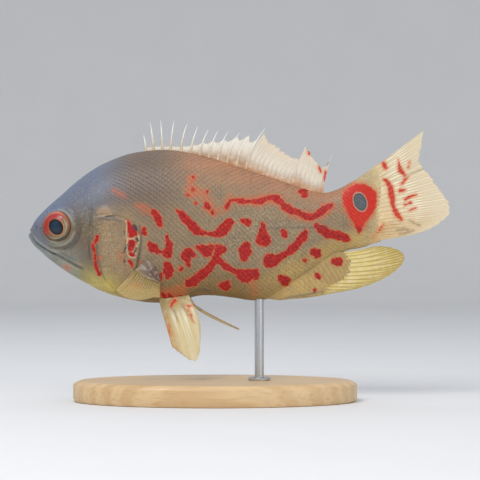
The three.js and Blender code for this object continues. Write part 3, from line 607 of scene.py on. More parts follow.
def node(tree, kind, **settings):
    made = tree.nodes.new(kind)
    for key, value in settings.items():
        setattr(made, key, value)
    return made


def feed(tree, value, socket):
    """Puts a number, a colour or another node's output into a socket."""
    if isinstance(value, bpy.types.NodeSocket):
        tree.links.new(value, socket)
    else:
        socket.default_value = (*value, 1) if isinstance(value, tuple) and len(value) == 3 else value


def maths(tree, operation, a, b=0.0):
    made = node(tree, "ShaderNodeMath", operation=operation)
    feed(tree, a, made.inputs[0])
    feed(tree, b, made.inputs[1])
    return made.outputs[0]


def blend(tree, share, below, above, how="MIX"):
    """A colour between two, by a share of 0 to 1."""
    made = node(tree, "ShaderNodeMix", data_type="RGBA", blend_type=how, clamp_factor=True)
    feed(tree, share, made.inputs["Factor"])
    feed(tree, below, made.inputs["A"])
    feed(tree, above, made.inputs["B"])
    return made.outputs["Result"]


def ramp(tree, value, low, high, to_low=0.0, to_high=1.0):
    """A value carried softly from the span low to high onto another span."""
    made = node(tree, "ShaderNodeMapRange", interpolation_type="SMOOTHSTEP")
    sockets = ("Value", "From Min", "From Max", "To Min", "To Max")
    for socket, number in zip(sockets, (value, low, high, to_low, to_high)):
        feed(tree, number, made.inputs[socket])
    return made.outputs["Result"]


def own_value(tree, name, colour=False):
    """A named value that the mesh carries on its points."""
    made = node(tree, "ShaderNodeAttribute", attribute_name=name)
    return made.outputs["Color" if colour else "Fac"]


def grain(tree, size, detail=3.0, rough=0.55, stretch=(1, 1, 1)):
    """Noise of about this size in millimetres, 0 to 1, fixed to the object."""
    where = node(tree, "ShaderNodeTexCoord").outputs["Object"]
    if stretch != (1, 1, 1):
        scaled = node(tree, "ShaderNodeVectorMath", operation="MULTIPLY")
        feed(tree, where, scaled.inputs[0])
        scaled.inputs[1].default_value = stretch
        where = scaled.outputs[0]
    noise = node(tree, "ShaderNodeTexNoise")
    feed(tree, where, noise.inputs["Vector"])
    noise.inputs["Scale"].default_value = 1 / (size * MM)
    noise.inputs["Detail"].default_value = detail
    noise.inputs["Roughness"].default_value = rough
    return noise.outputs["Fac"]


def new_group(name, inputs, outputs):
    """An empty shader node group: its tree, and the sockets inside it, by name."""
    group = bpy.data.node_groups.new(name, "ShaderNodeTree")
    for way, sockets in (("INPUT", inputs), ("OUTPUT", outputs)):
        for label, kind in sockets.items():
            group.interface.new_socket(label, in_out=way, socket_type=f"NodeSocket{kind}")
    taken = group.nodes.new("NodeGroupInput").outputs
    given = group.nodes.new("NodeGroupOutput").inputs
    return group, taken, given


def use_group(tree, group, **values):
    """A group placed in a material with its own values: its outputs."""
    made = node(tree, "ShaderNodeGroup", node_tree=group)
    for key, value in values.items():
        feed(tree, value, made.inputs[key.replace("_", " ")])
    return made.outputs


RED = srgb(174, 20, 18)
DEEP_RED = srgb(142, 13, 17)
EYESPOT_RED = srgb(198, 38, 24)
RUST = srgb(196, 98, 58)
INK = srgb(44, 56, 66)
CREAM = srgb(206, 188, 150)
HEART_GREY = srgb(92, 100, 104)
HEART_RIM = srgb(168, 160, 138)
TEMPLE_TAN = srgb(166, 136, 104)

# The markings and mottling that skin, scales and fleshy fin roots share, with painted shade in grooves,
# creases and along the scales' free edges, and painted sheen on the raised folds.
hide_paint, taken, given = new_group(
    "hide paint",
    {"Ground": "Color", "Red": "Float", "Orange": "Float", "Navy": "Float", "Shade": "Float", "Fold": "Float",
     "Pale": "Float", "Eyespot": "Float", "Temple": "Float", "Flecked": "Float", "Edge": "Float"},
    {"Color": "Color", "Roughness": "Float", "Height": "Float"},
)
tree = hide_paint
blotches = grain(tree, 7, 2)
ribs = grain(tree, 1.0, 3, 0.6, (1, 1, 0.3))
freckles = grain(tree, 0.9, 4, 0.65)
dust = grain(tree, 0.32, 2, 0.6)
lichen = grain(tree, 0.8, 4, 0.7)
ragged = maths(tree, "MULTIPLY", maths(tree, "SUBTRACT", grain(tree, 1.9, 5, 0.62), 0.5), 2.6)
colour = blend(tree, ramp(tree, blotches, 0.35, 0.7, 0, 0.28), taken["Ground"], srgb(112, 96, 84))
colour = blend(tree, ramp(tree, ribs, 0.42, 0.68, 0, 0.3), colour, srgb(196, 172, 134), "SOFT_LIGHT")
colour = blend(tree, ramp(tree, ribs, 0.5, 0.3, 0, 0.24), colour, srgb(84, 72, 64))
colour = blend(tree, ramp(tree, freckles, 0.52, 0.72, 0, 0.4), colour, srgb(196, 168, 128), "SOFT_LIGHT")
colour = blend(tree, ramp(tree, freckles, 0.5, 0.3, 0, 0.24), colour, srgb(72, 62, 60))
colour = blend(tree, ramp(tree, dust, 0.6, 0.75, 0, 0.2), colour, srgb(214, 196, 160))
light_fleck = maths(tree, "MULTIPLY", ramp(tree, lichen, 0.5, 0.64, 0, 0.36), taken["Flecked"])
dark_fleck = maths(tree, "MULTIPLY", ramp(tree, lichen, 0.46, 0.32, 0, 0.42), taken["Flecked"])
colour = blend(tree, light_fleck, colour, srgb(196, 184, 144))
colour = blend(tree, dark_fleck, colour, srgb(92, 84, 72))
temple = maths(tree, "ADD", taken["Temple"], maths(tree, "MULTIPLY", ragged, 0.25))
colour = blend(tree, ramp(tree, temple, 0.7, -1.2, 0, 0.6), colour, TEMPLE_TAN)
cloudy = maths(tree, "MULTIPLY", maths(tree, "SUBTRACT", grain(tree, 5, 3), 0.5), 7)
haze = maths(tree, "ADD", maths(tree, "ADD", taken["Orange"], ragged), cloudy)
colour = blend(tree, ramp(tree, haze, 2.2, -1.6, 0, 0.6), colour, RUST)
depth = maths(tree, "ADD", taken["Red"], ragged)
colour = blend(tree, ramp(tree, depth, 0.85, 0.05, 0, 0.8), colour, RUST)
red = blend(tree, ramp(tree, grain(tree, 1.1, 3), 0.4, 0.65), RED, DEEP_RED)
red = blend(tree, ramp(tree, taken["Eyespot"], 6.5, 4.5), red, EYESPOT_RED)
red = blend(tree, ramp(tree, freckles, 0.5, 0.68, 0, 0.35), red, srgb(226, 84, 44))
colour = blend(tree, ramp(tree, depth, 0.2, -0.16), colour, red)
heart = maths(tree, "ADD", taken["Eyespot"], maths(tree, "MULTIPLY", ragged, 0.3))
colour = blend(tree, ramp(tree, heart, 0.7, 0.3, 0, 0.7), colour, HEART_RIM)
colour = blend(tree, ramp(tree, heart, 0.3, -0.1, 0, 0.85), colour, INK)
heart_grey = blend(tree, ramp(tree, freckles, 0.35, 0.65), srgb(78, 88, 94), HEART_GREY)
colour = blend(tree, ramp(tree, heart, -0.1, -0.7), colour, heart_grey)
# Painted sheen on the raised folds round the eye, the lips and the jaw.
colour = blend(tree, ramp(tree, taken["Fold"], 1.0, -0.7, 0, 0.42), colour, srgb(158, 164, 150))
shade = maths(tree, "ADD", taken["Shade"], maths(tree, "MULTIPLY", ragged, 0.5))
colour = blend(tree, ramp(tree, shade, 0.75, -0.5, 0, 0.55), colour, srgb(66, 72, 76))
thin = maths(tree, "MULTIPLY", ragged, 0.3)
colour = blend(tree, ramp(tree, maths(tree, "ADD", taken["Pale"], thin), 0.4, -0.2, 0, 0.7), colour, CREAM)
colour = blend(tree, ramp(tree, maths(tree, "ADD", taken["Navy"], thin), 0.3, -0.2, 0, 0.88), colour, INK)
# Painted shade along the scales' free edges.
colour = blend(tree, maths(tree, "MULTIPLY", taken["Edge"], 0.13), colour, srgb(78, 66, 58))
feed(tree, colour, given["Color"])
feed(tree, ramp(tree, freckles, 0.3, 0.7, 0.36, 0.56), given["Roughness"])
height = maths(tree, "ADD", maths(tree, "MULTIPLY", freckles, 0.7), maths(tree, "MULTIPLY", dust, 0.3))
feed(tree, height, given["Height"])


def hide_material(name, bump):
    """Wet, scaled hide with the fish's markings, its painted shade and its painted sheen."""
    material, tree, shader = new_material(name)
    paint = use_group(
        tree, hide_paint, Ground=own_value(tree, "ground", colour=True), Red=own_value(tree, "red_mark"),
        Orange=own_value(tree, "orange_mark"), Navy=own_value(tree, "navy_mark"),
        Shade=own_value(tree, "shade_mark"),
        Fold=own_value(tree, "fold_sheen_mark"), Pale=own_value(tree, "pale_mark"),
        Eyespot=own_value(tree, "eyespot"), Temple=own_value(tree, "temple"),
        Flecked=own_value(tree, "flecked"), Edge=own_value(tree, "scale_edge_shade"),
    )
    relief_node = node(tree, "ShaderNodeBump")
    relief_node.inputs["Strength"].default_value = bump
    relief_node.inputs["Distance"].default_value = 0.15 * MM
    feed(tree, paint["Height"], relief_node.inputs["Height"])
    feed(tree, paint["Color"], shader.inputs["Base Color"])
    feed(tree, paint["Roughness"], shader.inputs["Roughness"])
    feed(tree, relief_node.outputs["Normal"], shader.inputs["Normal"])
    shader.inputs["Subsurface Weight"].default_value = 0.06
    shader.inputs["Subsurface Scale"].default_value = 0.6 * MM
    shader.inputs["Coat Weight"].default_value = 0.12
    shader.inputs["Coat Roughness"].default_value = 0.22
    shader.inputs["Specular IOR Level"].default_value = 0.26
    return material


skin.data.materials.append(hide_material("wet skin", 0.5))
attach(skin, "root")
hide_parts("head", "lower_jaw", "trunk", "tail_stalk", "gill_cover_left", "gill_cover_right")

# Scales: thin horny plates in staggered rows along the lateral line, each growing from a pocket in the skin
# and lying back over the next. They are small on the nape and gill covers and missing from the snout, lips
# and throat.
SCALE_STEP = 2.5
SCALE_LENGTH = 1.62
SCALE_WIDTH = 1.24
SCALE_THICK = 0.05
SCALE_RISE = 0.115
SCALE_GRID = (5, 7)
SCALE_SIZE = [
    (16, 0.56), (34, 0.68), (48, 0.86), (62, 0.98), (95, 0.98), (122, 0.82), (140, 0.66), (FLESH_END, 0.52),
]
LATERAL_LINE = [(16, 6), (50, 12), (70, 13), (90, 9.5), (110, 5), (135, 7), (FLESH_END, 11)]
scale_size = through(SCALE_SIZE)
lateral_level = through(LATERAL_LINE)
draw = np.random.default_rng(7)


def scaled_here(x, z):
    """Whether a scale grows at x and z."""
    eye = np.hypot(x - EYE_CENTRE[0], z - EYE_CENTRE[1])
    ragged = draw.normal(0, 1, len(x))
    off_groove = from_line(JAW_GROOVE, x, z)[0] > 2
    on_cheek = (x > 18 + 0.3 * ragged) & (eye > 10.6) & (z < 3) & off_groove & (z > -17)
    on_nape = (x > 25 + 0.4 * ragged - 0.12 * (z - 11)) & (z > 11 + 0.3 * ragged)
    on_cover = (x > 30) & (z > -18)
    clear = np.ones(len(x), bool)
    for line, reach in ((CHEEK_EDGE, 1.0), (CHEEK_LINE, 0.7), (GILL_EDGE, 1.3), (BONY_EDGE, 0.8)):
        clear &= from_line(line, x, z)[0] > reach
    patch_x, patch_z, size = TEMPLE_PATCH
    clear &= np.hypot(x - patch_x, z - patch_z) > size + 0.6
    above_throat = (z > -19) | (x > 43)
    before_rays = x < 148.5 - 0.016 * (z - 12) ** 2 + 0.7 * ragged
    return (on_cheek | on_nape | on_cover | (x > 47)) & clear & above_throat & before_rays


def scale_roots(surface, first_column, last_column, rows, level):
    """Where one side's scales grow on a surface, as its two parameters and a size."""
    roots = []
    a, column = first_column, 0
    while a < last_column:
        size = float(scale_size(surface(np.array([a]), np.array([0.5]))[0, 0]))
        points = surface(np.full(len(rows), a), rows)
        arc = np.concatenate([[0], np.cumsum(np.linalg.norm(np.diff(points, axis=0), axis=1))])
        arc -= np.interp(level(a), points[:, 2], arc)
        pitch = SCALE_STEP * 0.92 * size
        for row in range(math.ceil(arc[0] / pitch), math.floor(arc[-1] / pitch) + 1):
            along = (row + 0.5 * (column % 2)) * pitch
            if arc[0] < along < arc[-1]:
                roots.append((a, float(np.interp(along, arc, rows)), size))
        a += SCALE_STEP * size * 0.5
        column += 1
    return np.array(roots)


def scale_piece(name, roots, side, surface, bare, last_column, unwrap):
    """Scales of one side, as one mesh: each is a closed thin plate that follows the surface under it."""
    count = len(roots)
    along, across = SCALE_GRID
    s = np.linspace(0, 1, along)[None, :, None]
    q = np.linspace(-1, 1, across)[None, None, :]
    size = (roots[:, 2] * draw.uniform(0.93, 1.07, count))[:, None, None]
    tilt = draw.normal(0, 0.05, count)[:, None, None]
    reach = SCALE_STEP * size
    da = reach * SCALE_LENGTH * (s * (1 - 0.3 * q * q) - 0.42)
    fan = 0.62 + 0.38 * np.sin(np.pi * np.clip(s * 0.95 + 0.1, 0, 1))
    db = reach * SCALE_WIDTH / 2 * q * fan + tilt * da
    a0 = roots[:, 0][:, None, None]
    b0 = roots[:, 1][:, None, None]
    arc_rate = np.linalg.norm(bare(a0, b0 + 0.002) - bare(a0, b0 - 0.002), axis=-1) / 0.004
    a = np.minimum(a0 + da, last_column)
    b = b0 + db / np.maximum(arc_rate, 6)
    base = surface(a, b)
    normal = outwards(bare, a, b)
    x0 = base[:, :1, across // 2 : across // 2 + 1, 0]
    grown = (0.06 + 0.94 * smooth(24, 54, x0)) * (0.3 + 0.7 * smooth(FLESH_END + 2, FLESH_END - 14, x0))
    rise = SCALE_RISE * grown * size * draw.uniform(0.8, 1.2, count)[:, None, None] * (s**1.4 * 1.25 - 0.25)
    rise = rise + 0.04 * (1 - q * q) * s * grown
    edge = np.maximum(smooth(0.7, 1.0, s), smooth(0.72, 1.0, np.abs(q)) * smooth(0.35, 0.8, s))
    top = base + normal * (rise - 0.02 * edge)[..., None]
    under = base + normal * (rise - SCALE_THICK - 0.02)[..., None]
    points = np.concatenate([top.reshape(count, -1, 3), under.reshape(count, -1, 3)], axis=1)
    grid = quads(along, across)
    half = along * across
    border = list(range(across)) + [across * r + across - 1 for r in range(1, along)]
    border += [half - 1 - c for c in range(1, across)] + [across * r for r in range(along - 2, 0, -1)]
    rim = [[border[i], border[i - 1], border[i - 1] + half, border[i] + half] for i in range(len(border))]
    faces = np.concatenate([grid[:, ::-1], grid + half, np.array(rim)])
    all_faces = (faces[None] + (np.arange(count) * 2 * half)[:, None, None]).reshape(-1, 4)
    if side > 0:
        points = points * np.array([1, -1, 1])
        all_faces = all_faces[:, ::-1]
    values = painted(points.reshape(-1, 3))
    # Each scale's free edge is painted darker, as shade under the edge, strongest where the scales are fully
    # grown.
    shade = np.broadcast_to(edge, (count, along, across)).reshape(count, -1)
    shade = shade * grown.reshape(count, 1)
    values["scale_edge_shade"] = np.concatenate([shade, shade], axis=1)
    local = np.stack(np.broadcast_arrays(s * 0.003, q * 0.0015), axis=-1).reshape(1, -1, 2)
    uv = np.concatenate([local, local], axis=1) + unwrap(roots, side)[:, None, :]
    made = make_mesh(name, points, all_faces, values, uv)
    made.data.materials.append(scale_finish)
    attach(made, "root")
    return made


def flank_unwrap(roots, side):
    return body_unwrap(roots[:, 0], roots[:, 1] if side < 0 else 2 - roots[:, 1])


scale_finish = hide_material("horny scales", 0.35)
roots = scale_roots(bare_body, 16.0, FLESH_END - 1.4, np.linspace(-0.02, 1.02, 400), lateral_level)
root_points = bare_body(roots[:, 0], roots[:, 1])
roots = roots[scaled_here(root_points[:, 0], root_points[:, 2])]
for scale_side, side_name in ((-1, "left"), (1, "right")):
    for part_roots, part_name in zip(np.array_split(roots, 3), ("front", "middle", "rear")):
        scale_piece(f"scales_{side_name}_{part_name}", part_roots, scale_side, skin_surface, bare_body,
                    FLESH_END - 0.02, flank_unwrap)

# Eyes: each a glossy ball set in its socket, with a slanting dark pupil, a red iris crescent in front and
# above, a dull tan iris behind, and a thin bright ring round the pupil. The clear cornea is the coat over
# it.
EYE_RADIUS = 6.7
EYE_DEPTH = 3.9
EYE_STANDS = 2.0
EYE_TURN = 0.27
PUPIL = {"at": (0.6, -0.1), "half": (3.0, 3.55), "lean": 0.62}


def eyeball(name, side, node_name):
    """One eye, with what its paint needs on its points."""
    rows, columns = 90, 120
    polar = (np.linspace(0, 1, rows) ** 0.9 * 0.62 * np.pi)[:, None]
    turn = np.linspace(0, 2 * np.pi, columns, endpoint=False)[None, :]
    a = EYE_RADIUS * np.sin(polar) * np.cos(turn)
    b = EYE_RADIUS * np.sin(polar) * np.sin(turn)
    lean = PUPIL["lean"]
    pa, pb = a - PUPIL["at"][0], b - PUPIL["at"][1]
    across = pa * math.cos(lean) + pb * math.sin(lean)
    upright = -pa * math.sin(lean) + pb * math.cos(lean)
    pupil = (np.hypot(across / PUPIL["half"][0], upright / PUPIL["half"][1]) - 1) * PUPIL["half"][0]
    ring_bump = 0.12 * bell(pupil - 0.35, 0.3) - 0.1 * bell(pupil - 1.5, 0.8)
    out = (EYE_DEPTH + ring_bump) * np.cos(polar)
    cos, sin = math.cos(EYE_TURN), math.sin(EYE_TURN)
    y_seat = float(flank(EYE_CENTRE[0], EYE_CENTRE[1])) + EYE_STANDS - EYE_DEPTH
    x = EYE_CENTRE[0] + a * cos - out * sin
    y = side * (y_seat + a * sin + out * cos)
    z = EYE_CENTRE[1] + b + 0 * out
    points = np.stack(np.broadcast_arrays(x, y, z), axis=-1).reshape(-1, 3)
    faces = quads(rows, columns, wrap=True)
    if side < 0:
        faces = faces[:, ::-1]
    values = {
        "pupil": pupil,
        "eye_across": np.broadcast_to(a, pupil.shape), "eye_up": np.broadcast_to(b, pupil.shape),
        "eye_radius": np.hypot(a, b),
    }
    made = make_mesh(name, points, faces, values)
    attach(made, "root")
    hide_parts(node_name)
    return made


eye_gloss, tree, shader = new_material("eye")
pupil = own_value(tree, "pupil")
radius = own_value(tree, "eye_radius")
ahead = own_value(tree, "eye_across")
upward = own_value(tree, "eye_up")
fibres = grain(tree, 0.45, 4, 0.7)
ragged = maths(tree, "MULTIPLY", maths(tree, "SUBTRACT", fibres, 0.5), 1.2)
front = maths(tree, "ADD", maths(tree, "MULTIPLY", ahead, -0.8), maths(tree, "MULTIPLY", upward, 0.6))
crescent = ramp(tree, maths(tree, "ADD", front, ragged), -2.6, 2.2)
tan_iris = blend(tree, ramp(tree, fibres, 0.35, 0.7), srgb(108, 88, 74), srgb(144, 120, 100))
low = ramp(tree, upward, -1.5, -4.5)
tan_iris = blend(tree, maths(tree, "MULTIPLY", low, 0.7), tan_iris, srgb(122, 108, 80))
red_iris = blend(tree, ramp(tree, fibres, 0.35, 0.65), srgb(134, 28, 24), srgb(176, 60, 38))
red_iris = blend(tree, ramp(tree, upward, 1.8, 4.2, 0, 0.55), red_iris, srgb(150, 46, 60))
red_iris = blend(tree, ramp(tree, upward, -1.6, -4.2, 0, 0.75), red_iris, srgb(120, 66, 40))
iris = blend(tree, crescent, tan_iris, red_iris)
outer = ramp(tree, radius, 5.4, 5.85)
outer = maths(tree, "MULTIPLY", outer, ramp(tree, upward, -3.5, 2.5, 0, 0.75))
iris = blend(tree, outer, iris, srgb(178, 100, 62))
pale_arc = ramp(tree, maths(tree, "ABSOLUTE", maths(tree, "SUBTRACT", radius, 4.9)), 0.55, 0.05, 0, 0.6)
iris = blend(tree, maths(tree, "MULTIPLY", pale_arc, ramp(tree, front, 0.2, -2.6)), iris, srgb(168, 156, 124))
around = ramp(tree, maths(tree, "ABSOLUTE", maths(tree, "SUBTRACT", pupil, 0.26)), 0.34, 0.04)
around = maths(tree, "MULTIPLY", around, ramp(tree, front, 3.4, -1.5, 0.25, 0.9))
iris = blend(tree, around, iris, srgb(186, 112, 58))
# Painted shade: a dark line low on the ball, where it meets the fold under the eye.
fold_shade_ring = ramp(tree, maths(tree, "ABSOLUTE", maths(tree, "SUBTRACT", radius, 5.5)), 0.4, 0.15)
fold_shade_span = ramp(tree, maths(tree, "ABSOLUTE", maths(tree, "SUBTRACT", ahead, 1.9)), 2.4, 1.2)
dash = maths(tree, "MULTIPLY", fold_shade_ring, fold_shade_span)
dash = maths(tree, "MULTIPLY", dash, ramp(tree, upward, -3.4, -4.6, 0, 0.75))
iris = blend(tree, dash, iris, srgb(62, 72, 76))
dark = blend(tree, ramp(tree, pupil, -1.8, -0.2), srgb(22, 44, 60), srgb(6, 18, 30))
eye_colour = blend(tree, ramp(tree, pupil, 0.08, -0.06), iris, dark)
feed(tree, eye_colour, shader.inputs["Base Color"])
feed(tree, ramp(tree, fibres, 0.3, 0.7, 0.28, 0.42), shader.inputs["Roughness"])
eye_bump = node(tree, "ShaderNodeBump")
eye_bump.inputs["Strength"].default_value = 0.25
eye_bump.inputs["Distance"].default_value = 0.1 * MM
feed(tree, fibres, eye_bump.inputs["Height"])
feed(tree, eye_bump.outputs["Normal"], shader.inputs["Normal"])
shader.inputs["Specular IOR Level"].default_value = 0.15
shader.inputs["Coat Weight"].default_value = 1.0
shader.inputs["Coat Roughness"].default_value = 0.1
shader.inputs["Coat IOR"].default_value = 1.33
eyeball("eye_ball_left", -1, "eye_left").data.materials.append(eye_gloss)
eyeball("eye_ball_right", 1, "eye_right").data.materials.append(eye_gloss)

# Back fin, front part: stiff tapered spines, with a thin web torn and worn down between them that climbs
# from spine to spine. Rays and web are bone and skin, growing from the ridge of the back.
ROOT_DEPTH = 1.6
SPINES = [
    (50, (48.8, 43.5), 1.5), (53.2, (51.6, 48.8), 1.5), (57, (56.1, 49.7), 1.6), (60.4, (62, 49.7), 1.5),
    (64.8, (67.7, 48.8), 2.2), (69, (72.3, 47.3), 3.6), (72.9, (76.8, 45.9), 5.8), (76.7, (81, 45.4), 7.6),
    (80.6, (85.3, 45.2), 9.4), (84.6, (90.3, 44.7), 12.4), (88.6, (94.5, 43.9), 14.4),
    (92.8, (101.4, 46.7), 14.4),
]
SPINE_RADIUS = 0.68


def bezier(root, knee, tip, v):
    """Points along quadratic curves. Each of root, knee and tip ends in x, y, z."""
    v = np.asarray(v)[..., None]
    return (1 - v) ** 2 * root + 2 * v * (1 - v) * knee + v * v * tip


def in_plane(x, z, y=0.0):
    return np.stack(np.broadcast_arrays(np.asarray(x, float), y, z), axis=-1)


def back_root(x):
    return in_plane(x, back(x) - ROOT_DEPTH)


def rising(root, tip):
    """The knee of a ray that rises from its root and then bends towards the tail."""
    knee = root * 0.5 + tip * 0.5
    knee[..., 0] = root[..., 0] * 0.88 + tip[..., 0] * 0.12
    return knee


def along_list(values, u):
    """Values read smoothly along a list at shares u of 0 to 1."""
    values = np.asarray(values, float)
    at = np.asarray(u) * (len(values) - 1)
    i = np.clip(at.astype(int), 0, len(values) - 2)
    t = (at - i)[..., None] if values.ndim > 1 else at - i
    return values[i] * (1 - t) + values[i + 1] * t


def ray_ridge(u, v, rays, width=0.2, splits=(0.38, 0.7)):
    """How much a point at share u across and v along is on a ray, 0 to 1. Rays branch towards their tips."""
    phase = u * (rays - 1)
    off = phase - np.round(phase)
    first = 0.24 * smooth(splits[0], splits[0] + 0.35, v)
    second = 0.11 * smooth(splits[1], splits[1] + 0.25, v)
    away = np.abs(np.abs(np.abs(off) - first) - second)
    return bell(away, width * (1 - 0.45 * v))


def fin_mesh(name, lines, columns, rows, half, values):
    """A closed fin from its middle sheet: lines(u, v) gives points, half(u, v) half its thickness."""
    u = np.linspace(0, 1, columns)[:, None]
    v = np.linspace(0, 1, rows)[None, :]
    middle = lines(u, v)
    across = np.gradient(middle, axis=0)
    along = np.gradient(middle, axis=1)
    normal = np.cross(across, along)
    normal /= np.maximum(np.linalg.norm(normal, axis=-1, keepdims=True), 1e-9)
    lift = normal * half(u, v)[..., None]
    points = np.concatenate([(middle + lift).reshape(-1, 3), (middle - lift).reshape(-1, 3)])
    one = columns * rows
    grid = quads(columns, rows)
    border = list(range(rows)) + [rows * c + rows - 1 for c in range(1, columns)]
    border += [one - 1 - r for r in range(1, rows)] + [rows * c for c in range(columns - 2, 0, -1)]
    pairs = [(border[i - 1], border[i]) for i in range(len(border))]
    rim = np.array([[before, here, here + one, before + one] for before, here in pairs])
    faces = np.concatenate([grid, grid[:, ::-1] + one, rim])
    given = {}
    for key, value in values(u, v, middle).items():
        full = u.shape[:1] + v.shape[1:] + np.shape(value)[2:]
        given[key] = np.concatenate([np.broadcast_to(value, full)] * 2)
    return points, faces, given


def bar_mesh(curve, radius, steps=26, sides=12):
    """A round tapered bar along curve(v), in the plane of the fish's mid-line."""
    v = np.linspace(0, 1, steps)
    centre = curve(v)
    along = np.gradient(centre, axis=0)
    along /= np.linalg.norm(along, axis=1, keepdims=True)
    side = np.cross(along, [0, 1, 0])
    side /= np.linalg.norm(side, axis=1, keepdims=True)
    turn = np.linspace(0, 2 * np.pi, sides, endpoint=False)[None, :, None]
    out = side[:, None] * np.cos(turn) + np.array([0, 1, 0]) * np.sin(turn)
    points = (centre[:, None] + out * radius(v)[:, None, None]).reshape(-1, 3)
    faces = quads(steps, sides, wrap=True).tolist()
    faces += [list(range(sides))[::-1], [(steps - 1) * sides + k for k in range(sides)]]
    return points, faces


def torn(u, strength=1.0):
    """How much shorter a fin's edge is at u, worn unevenly."""
    slow = 0.006 * np.sin(43 * u) * np.sin(11 * u + 1)
    return strength * (0.007 + slow + 0.005 * np.sin(97 * u + 2) + 0.003 * np.sin(211 * u))


def two_tone(low_colour, high_colour, share):
    low = np.array(low_colour)
    return low + (np.array(high_colour) - low) * np.asarray(share)[..., None]


def fin_material(name, web_alpha, ray_colour, ray_alpha=1.0, bump=0.4):
    """Thin clouded web with stronger rays: each fin carries its own colours, marks and rays on its points."""
    material, tree, shader = new_material(name)
    ray = own_value(tree, "ray")
    flesh = own_value(tree, "flesh")
    base = own_value(tree, "ground", colour=True)
    cloud = grain(tree, 2.2, 4, 0.6)
    fine = grain(tree, 0.5, 3, 0.6)
    ragged = maths(tree, "MULTIPLY", maths(tree, "SUBTRACT", grain(tree, 1.2, 4, 0.65), 0.5), 1.8)
    colour = blend(tree, ramp(tree, cloud, 0.4, 0.75, 0, 0.3), base, srgb(250, 244, 226))
    colour = blend(tree, ramp(tree, fine, 0.5, 0.25, 0, 0.25), colour, srgb(150, 126, 92))
    shade = maths(tree, "MULTIPLY", ray, maths(tree, "SUBTRACT", 1.0, flesh))
    colour = blend(tree, maths(tree, "MULTIPLY", shade, 0.72), colour, ray_colour)
    shade = maths(tree, "ADD", own_value(tree, "shade_mark"), ragged)
    colour = blend(tree, ramp(tree, shade, 1.0, -0.6, 0, 0.6), colour, srgb(124, 92, 62))
    depth = maths(tree, "ADD", own_value(tree, "red_mark"), ragged)
    colour = blend(tree, ramp(tree, depth, 1.3, 0.0, 0, 0.62), colour, srgb(214, 124, 72))
    colour = blend(tree, ramp(tree, depth, 0.3, -0.3, 0, 0.94), colour, srgb(192, 44, 28))
    feed(tree, colour, shader.inputs["Base Color"])
    feed(tree, ramp(tree, fine, 0.3, 0.7, 0.34, 0.55), shader.inputs["Roughness"])
    solid = ramp(tree, ray, 0.15, 0.75, web_alpha, ray_alpha)
    solid = maths(tree, "MAXIMUM", solid, ramp(tree, flesh, 0.1, 0.8, web_alpha, 1.0))
    feed(tree, maths(tree, "MAXIMUM", solid, ramp(tree, depth, 0.4, -0.2, 0, 0.95)), shader.inputs["Alpha"])
    relief_node = node(tree, "ShaderNodeBump")
    relief_node.inputs["Strength"].default_value = bump
    relief_node.inputs["Distance"].default_value = 0.12 * MM
    feed(tree, maths(tree, "ADD", fine, maths(tree, "MULTIPLY", ray, 0.6)), relief_node.inputs["Height"])
    feed(tree, relief_node.outputs["Normal"], shader.inputs["Normal"])
    shader.inputs["Specular IOR Level"].default_value = 0.3
    shader.inputs["Coat Weight"].default_value = 0.08
    shader.inputs["Coat Roughness"].default_value = 0.3
    return material


def add_fin(name, nodes, material, parts):
    """One fin object from (points, faces, values) parts, standing for its solid."""
    points, faces, values, offset = [], [], {}, 0
    for part_points, part_faces, part_values in parts:
        points.append(part_points)
        faces += [[i + offset for i in face] for face in np.asarray(part_faces, dtype=object).tolist()]
        offset += len(part_points)
        for key, value in part_values.items():
            shaped = np.asarray(value, float).reshape(len(part_points), *np.shape(value)[2:])
            values.setdefault(key, []).append(shaped)
    joined = {key: np.concatenate(value) for key, value in values.items()}
    joined.setdefault("shade_mark", np.full(offset, 9.0))
    made = make_mesh(name, np.concatenate(points), faces, joined)
    made.data.materials.append(material)
    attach(made, "root")
    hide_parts(*nodes)
    return made


spine_roots = np.array([root for root, _, _ in SPINES], float)
spine_tips = np.array([tip for _, tip, _ in SPINES], float)
spine_webs = np.array([web for _, _, web in SPINES], float)
spine_webs = np.maximum(spine_webs, np.concatenate([[spine_webs[0]], spine_webs[:-1]]))
WEB_WHITE = srgb(238, 232, 218)
FIN_ROOT_BROWN = srgb(176, 128, 90)


def spiny_web(u, v):
    """The web hangs between the spines, dipping from tip to tip."""
    root = back_root(along_list(spine_roots, u))
    tips = along_list(spine_tips, u)
    tip = in_plane(tips[..., 0], tips[..., 1])
    knee = rising(root, tip)
    length = np.linalg.norm(tip - root, axis=-1) * 1.03
    phase = u * (len(SPINES) - 1)
    sag = np.sin(np.pi * (phase % 1)) ** 1.5
    reach = np.minimum(0.96, (along_list(spine_webs, u) * (1 - 0.16 * sag) + ROOT_DEPTH) / length)
    wave = 0.12 * np.sin(2 * np.pi * phase + 1)
    points = bezier(root, knee, tip, v * reach)
    points[..., 1] += wave * v
    return points


def spiny_values(u, v, middle):
    low = smooth(0.8, 0.1, v * np.ones_like(u))
    return {
        "ground": two_tone(WEB_WHITE, FIN_ROOT_BROWN, low),
        "ray": ray_ridge(u, v * np.ones_like(u), 45, 0.12, (2, 2)) * 0.4,
        "flesh": smooth(0.4, 0.0, v * np.ones_like(u)),
        "red_mark": 3 + 6 * v - 3 * np.sin(9 * u) ** 2 * (u > 0.55),
    }


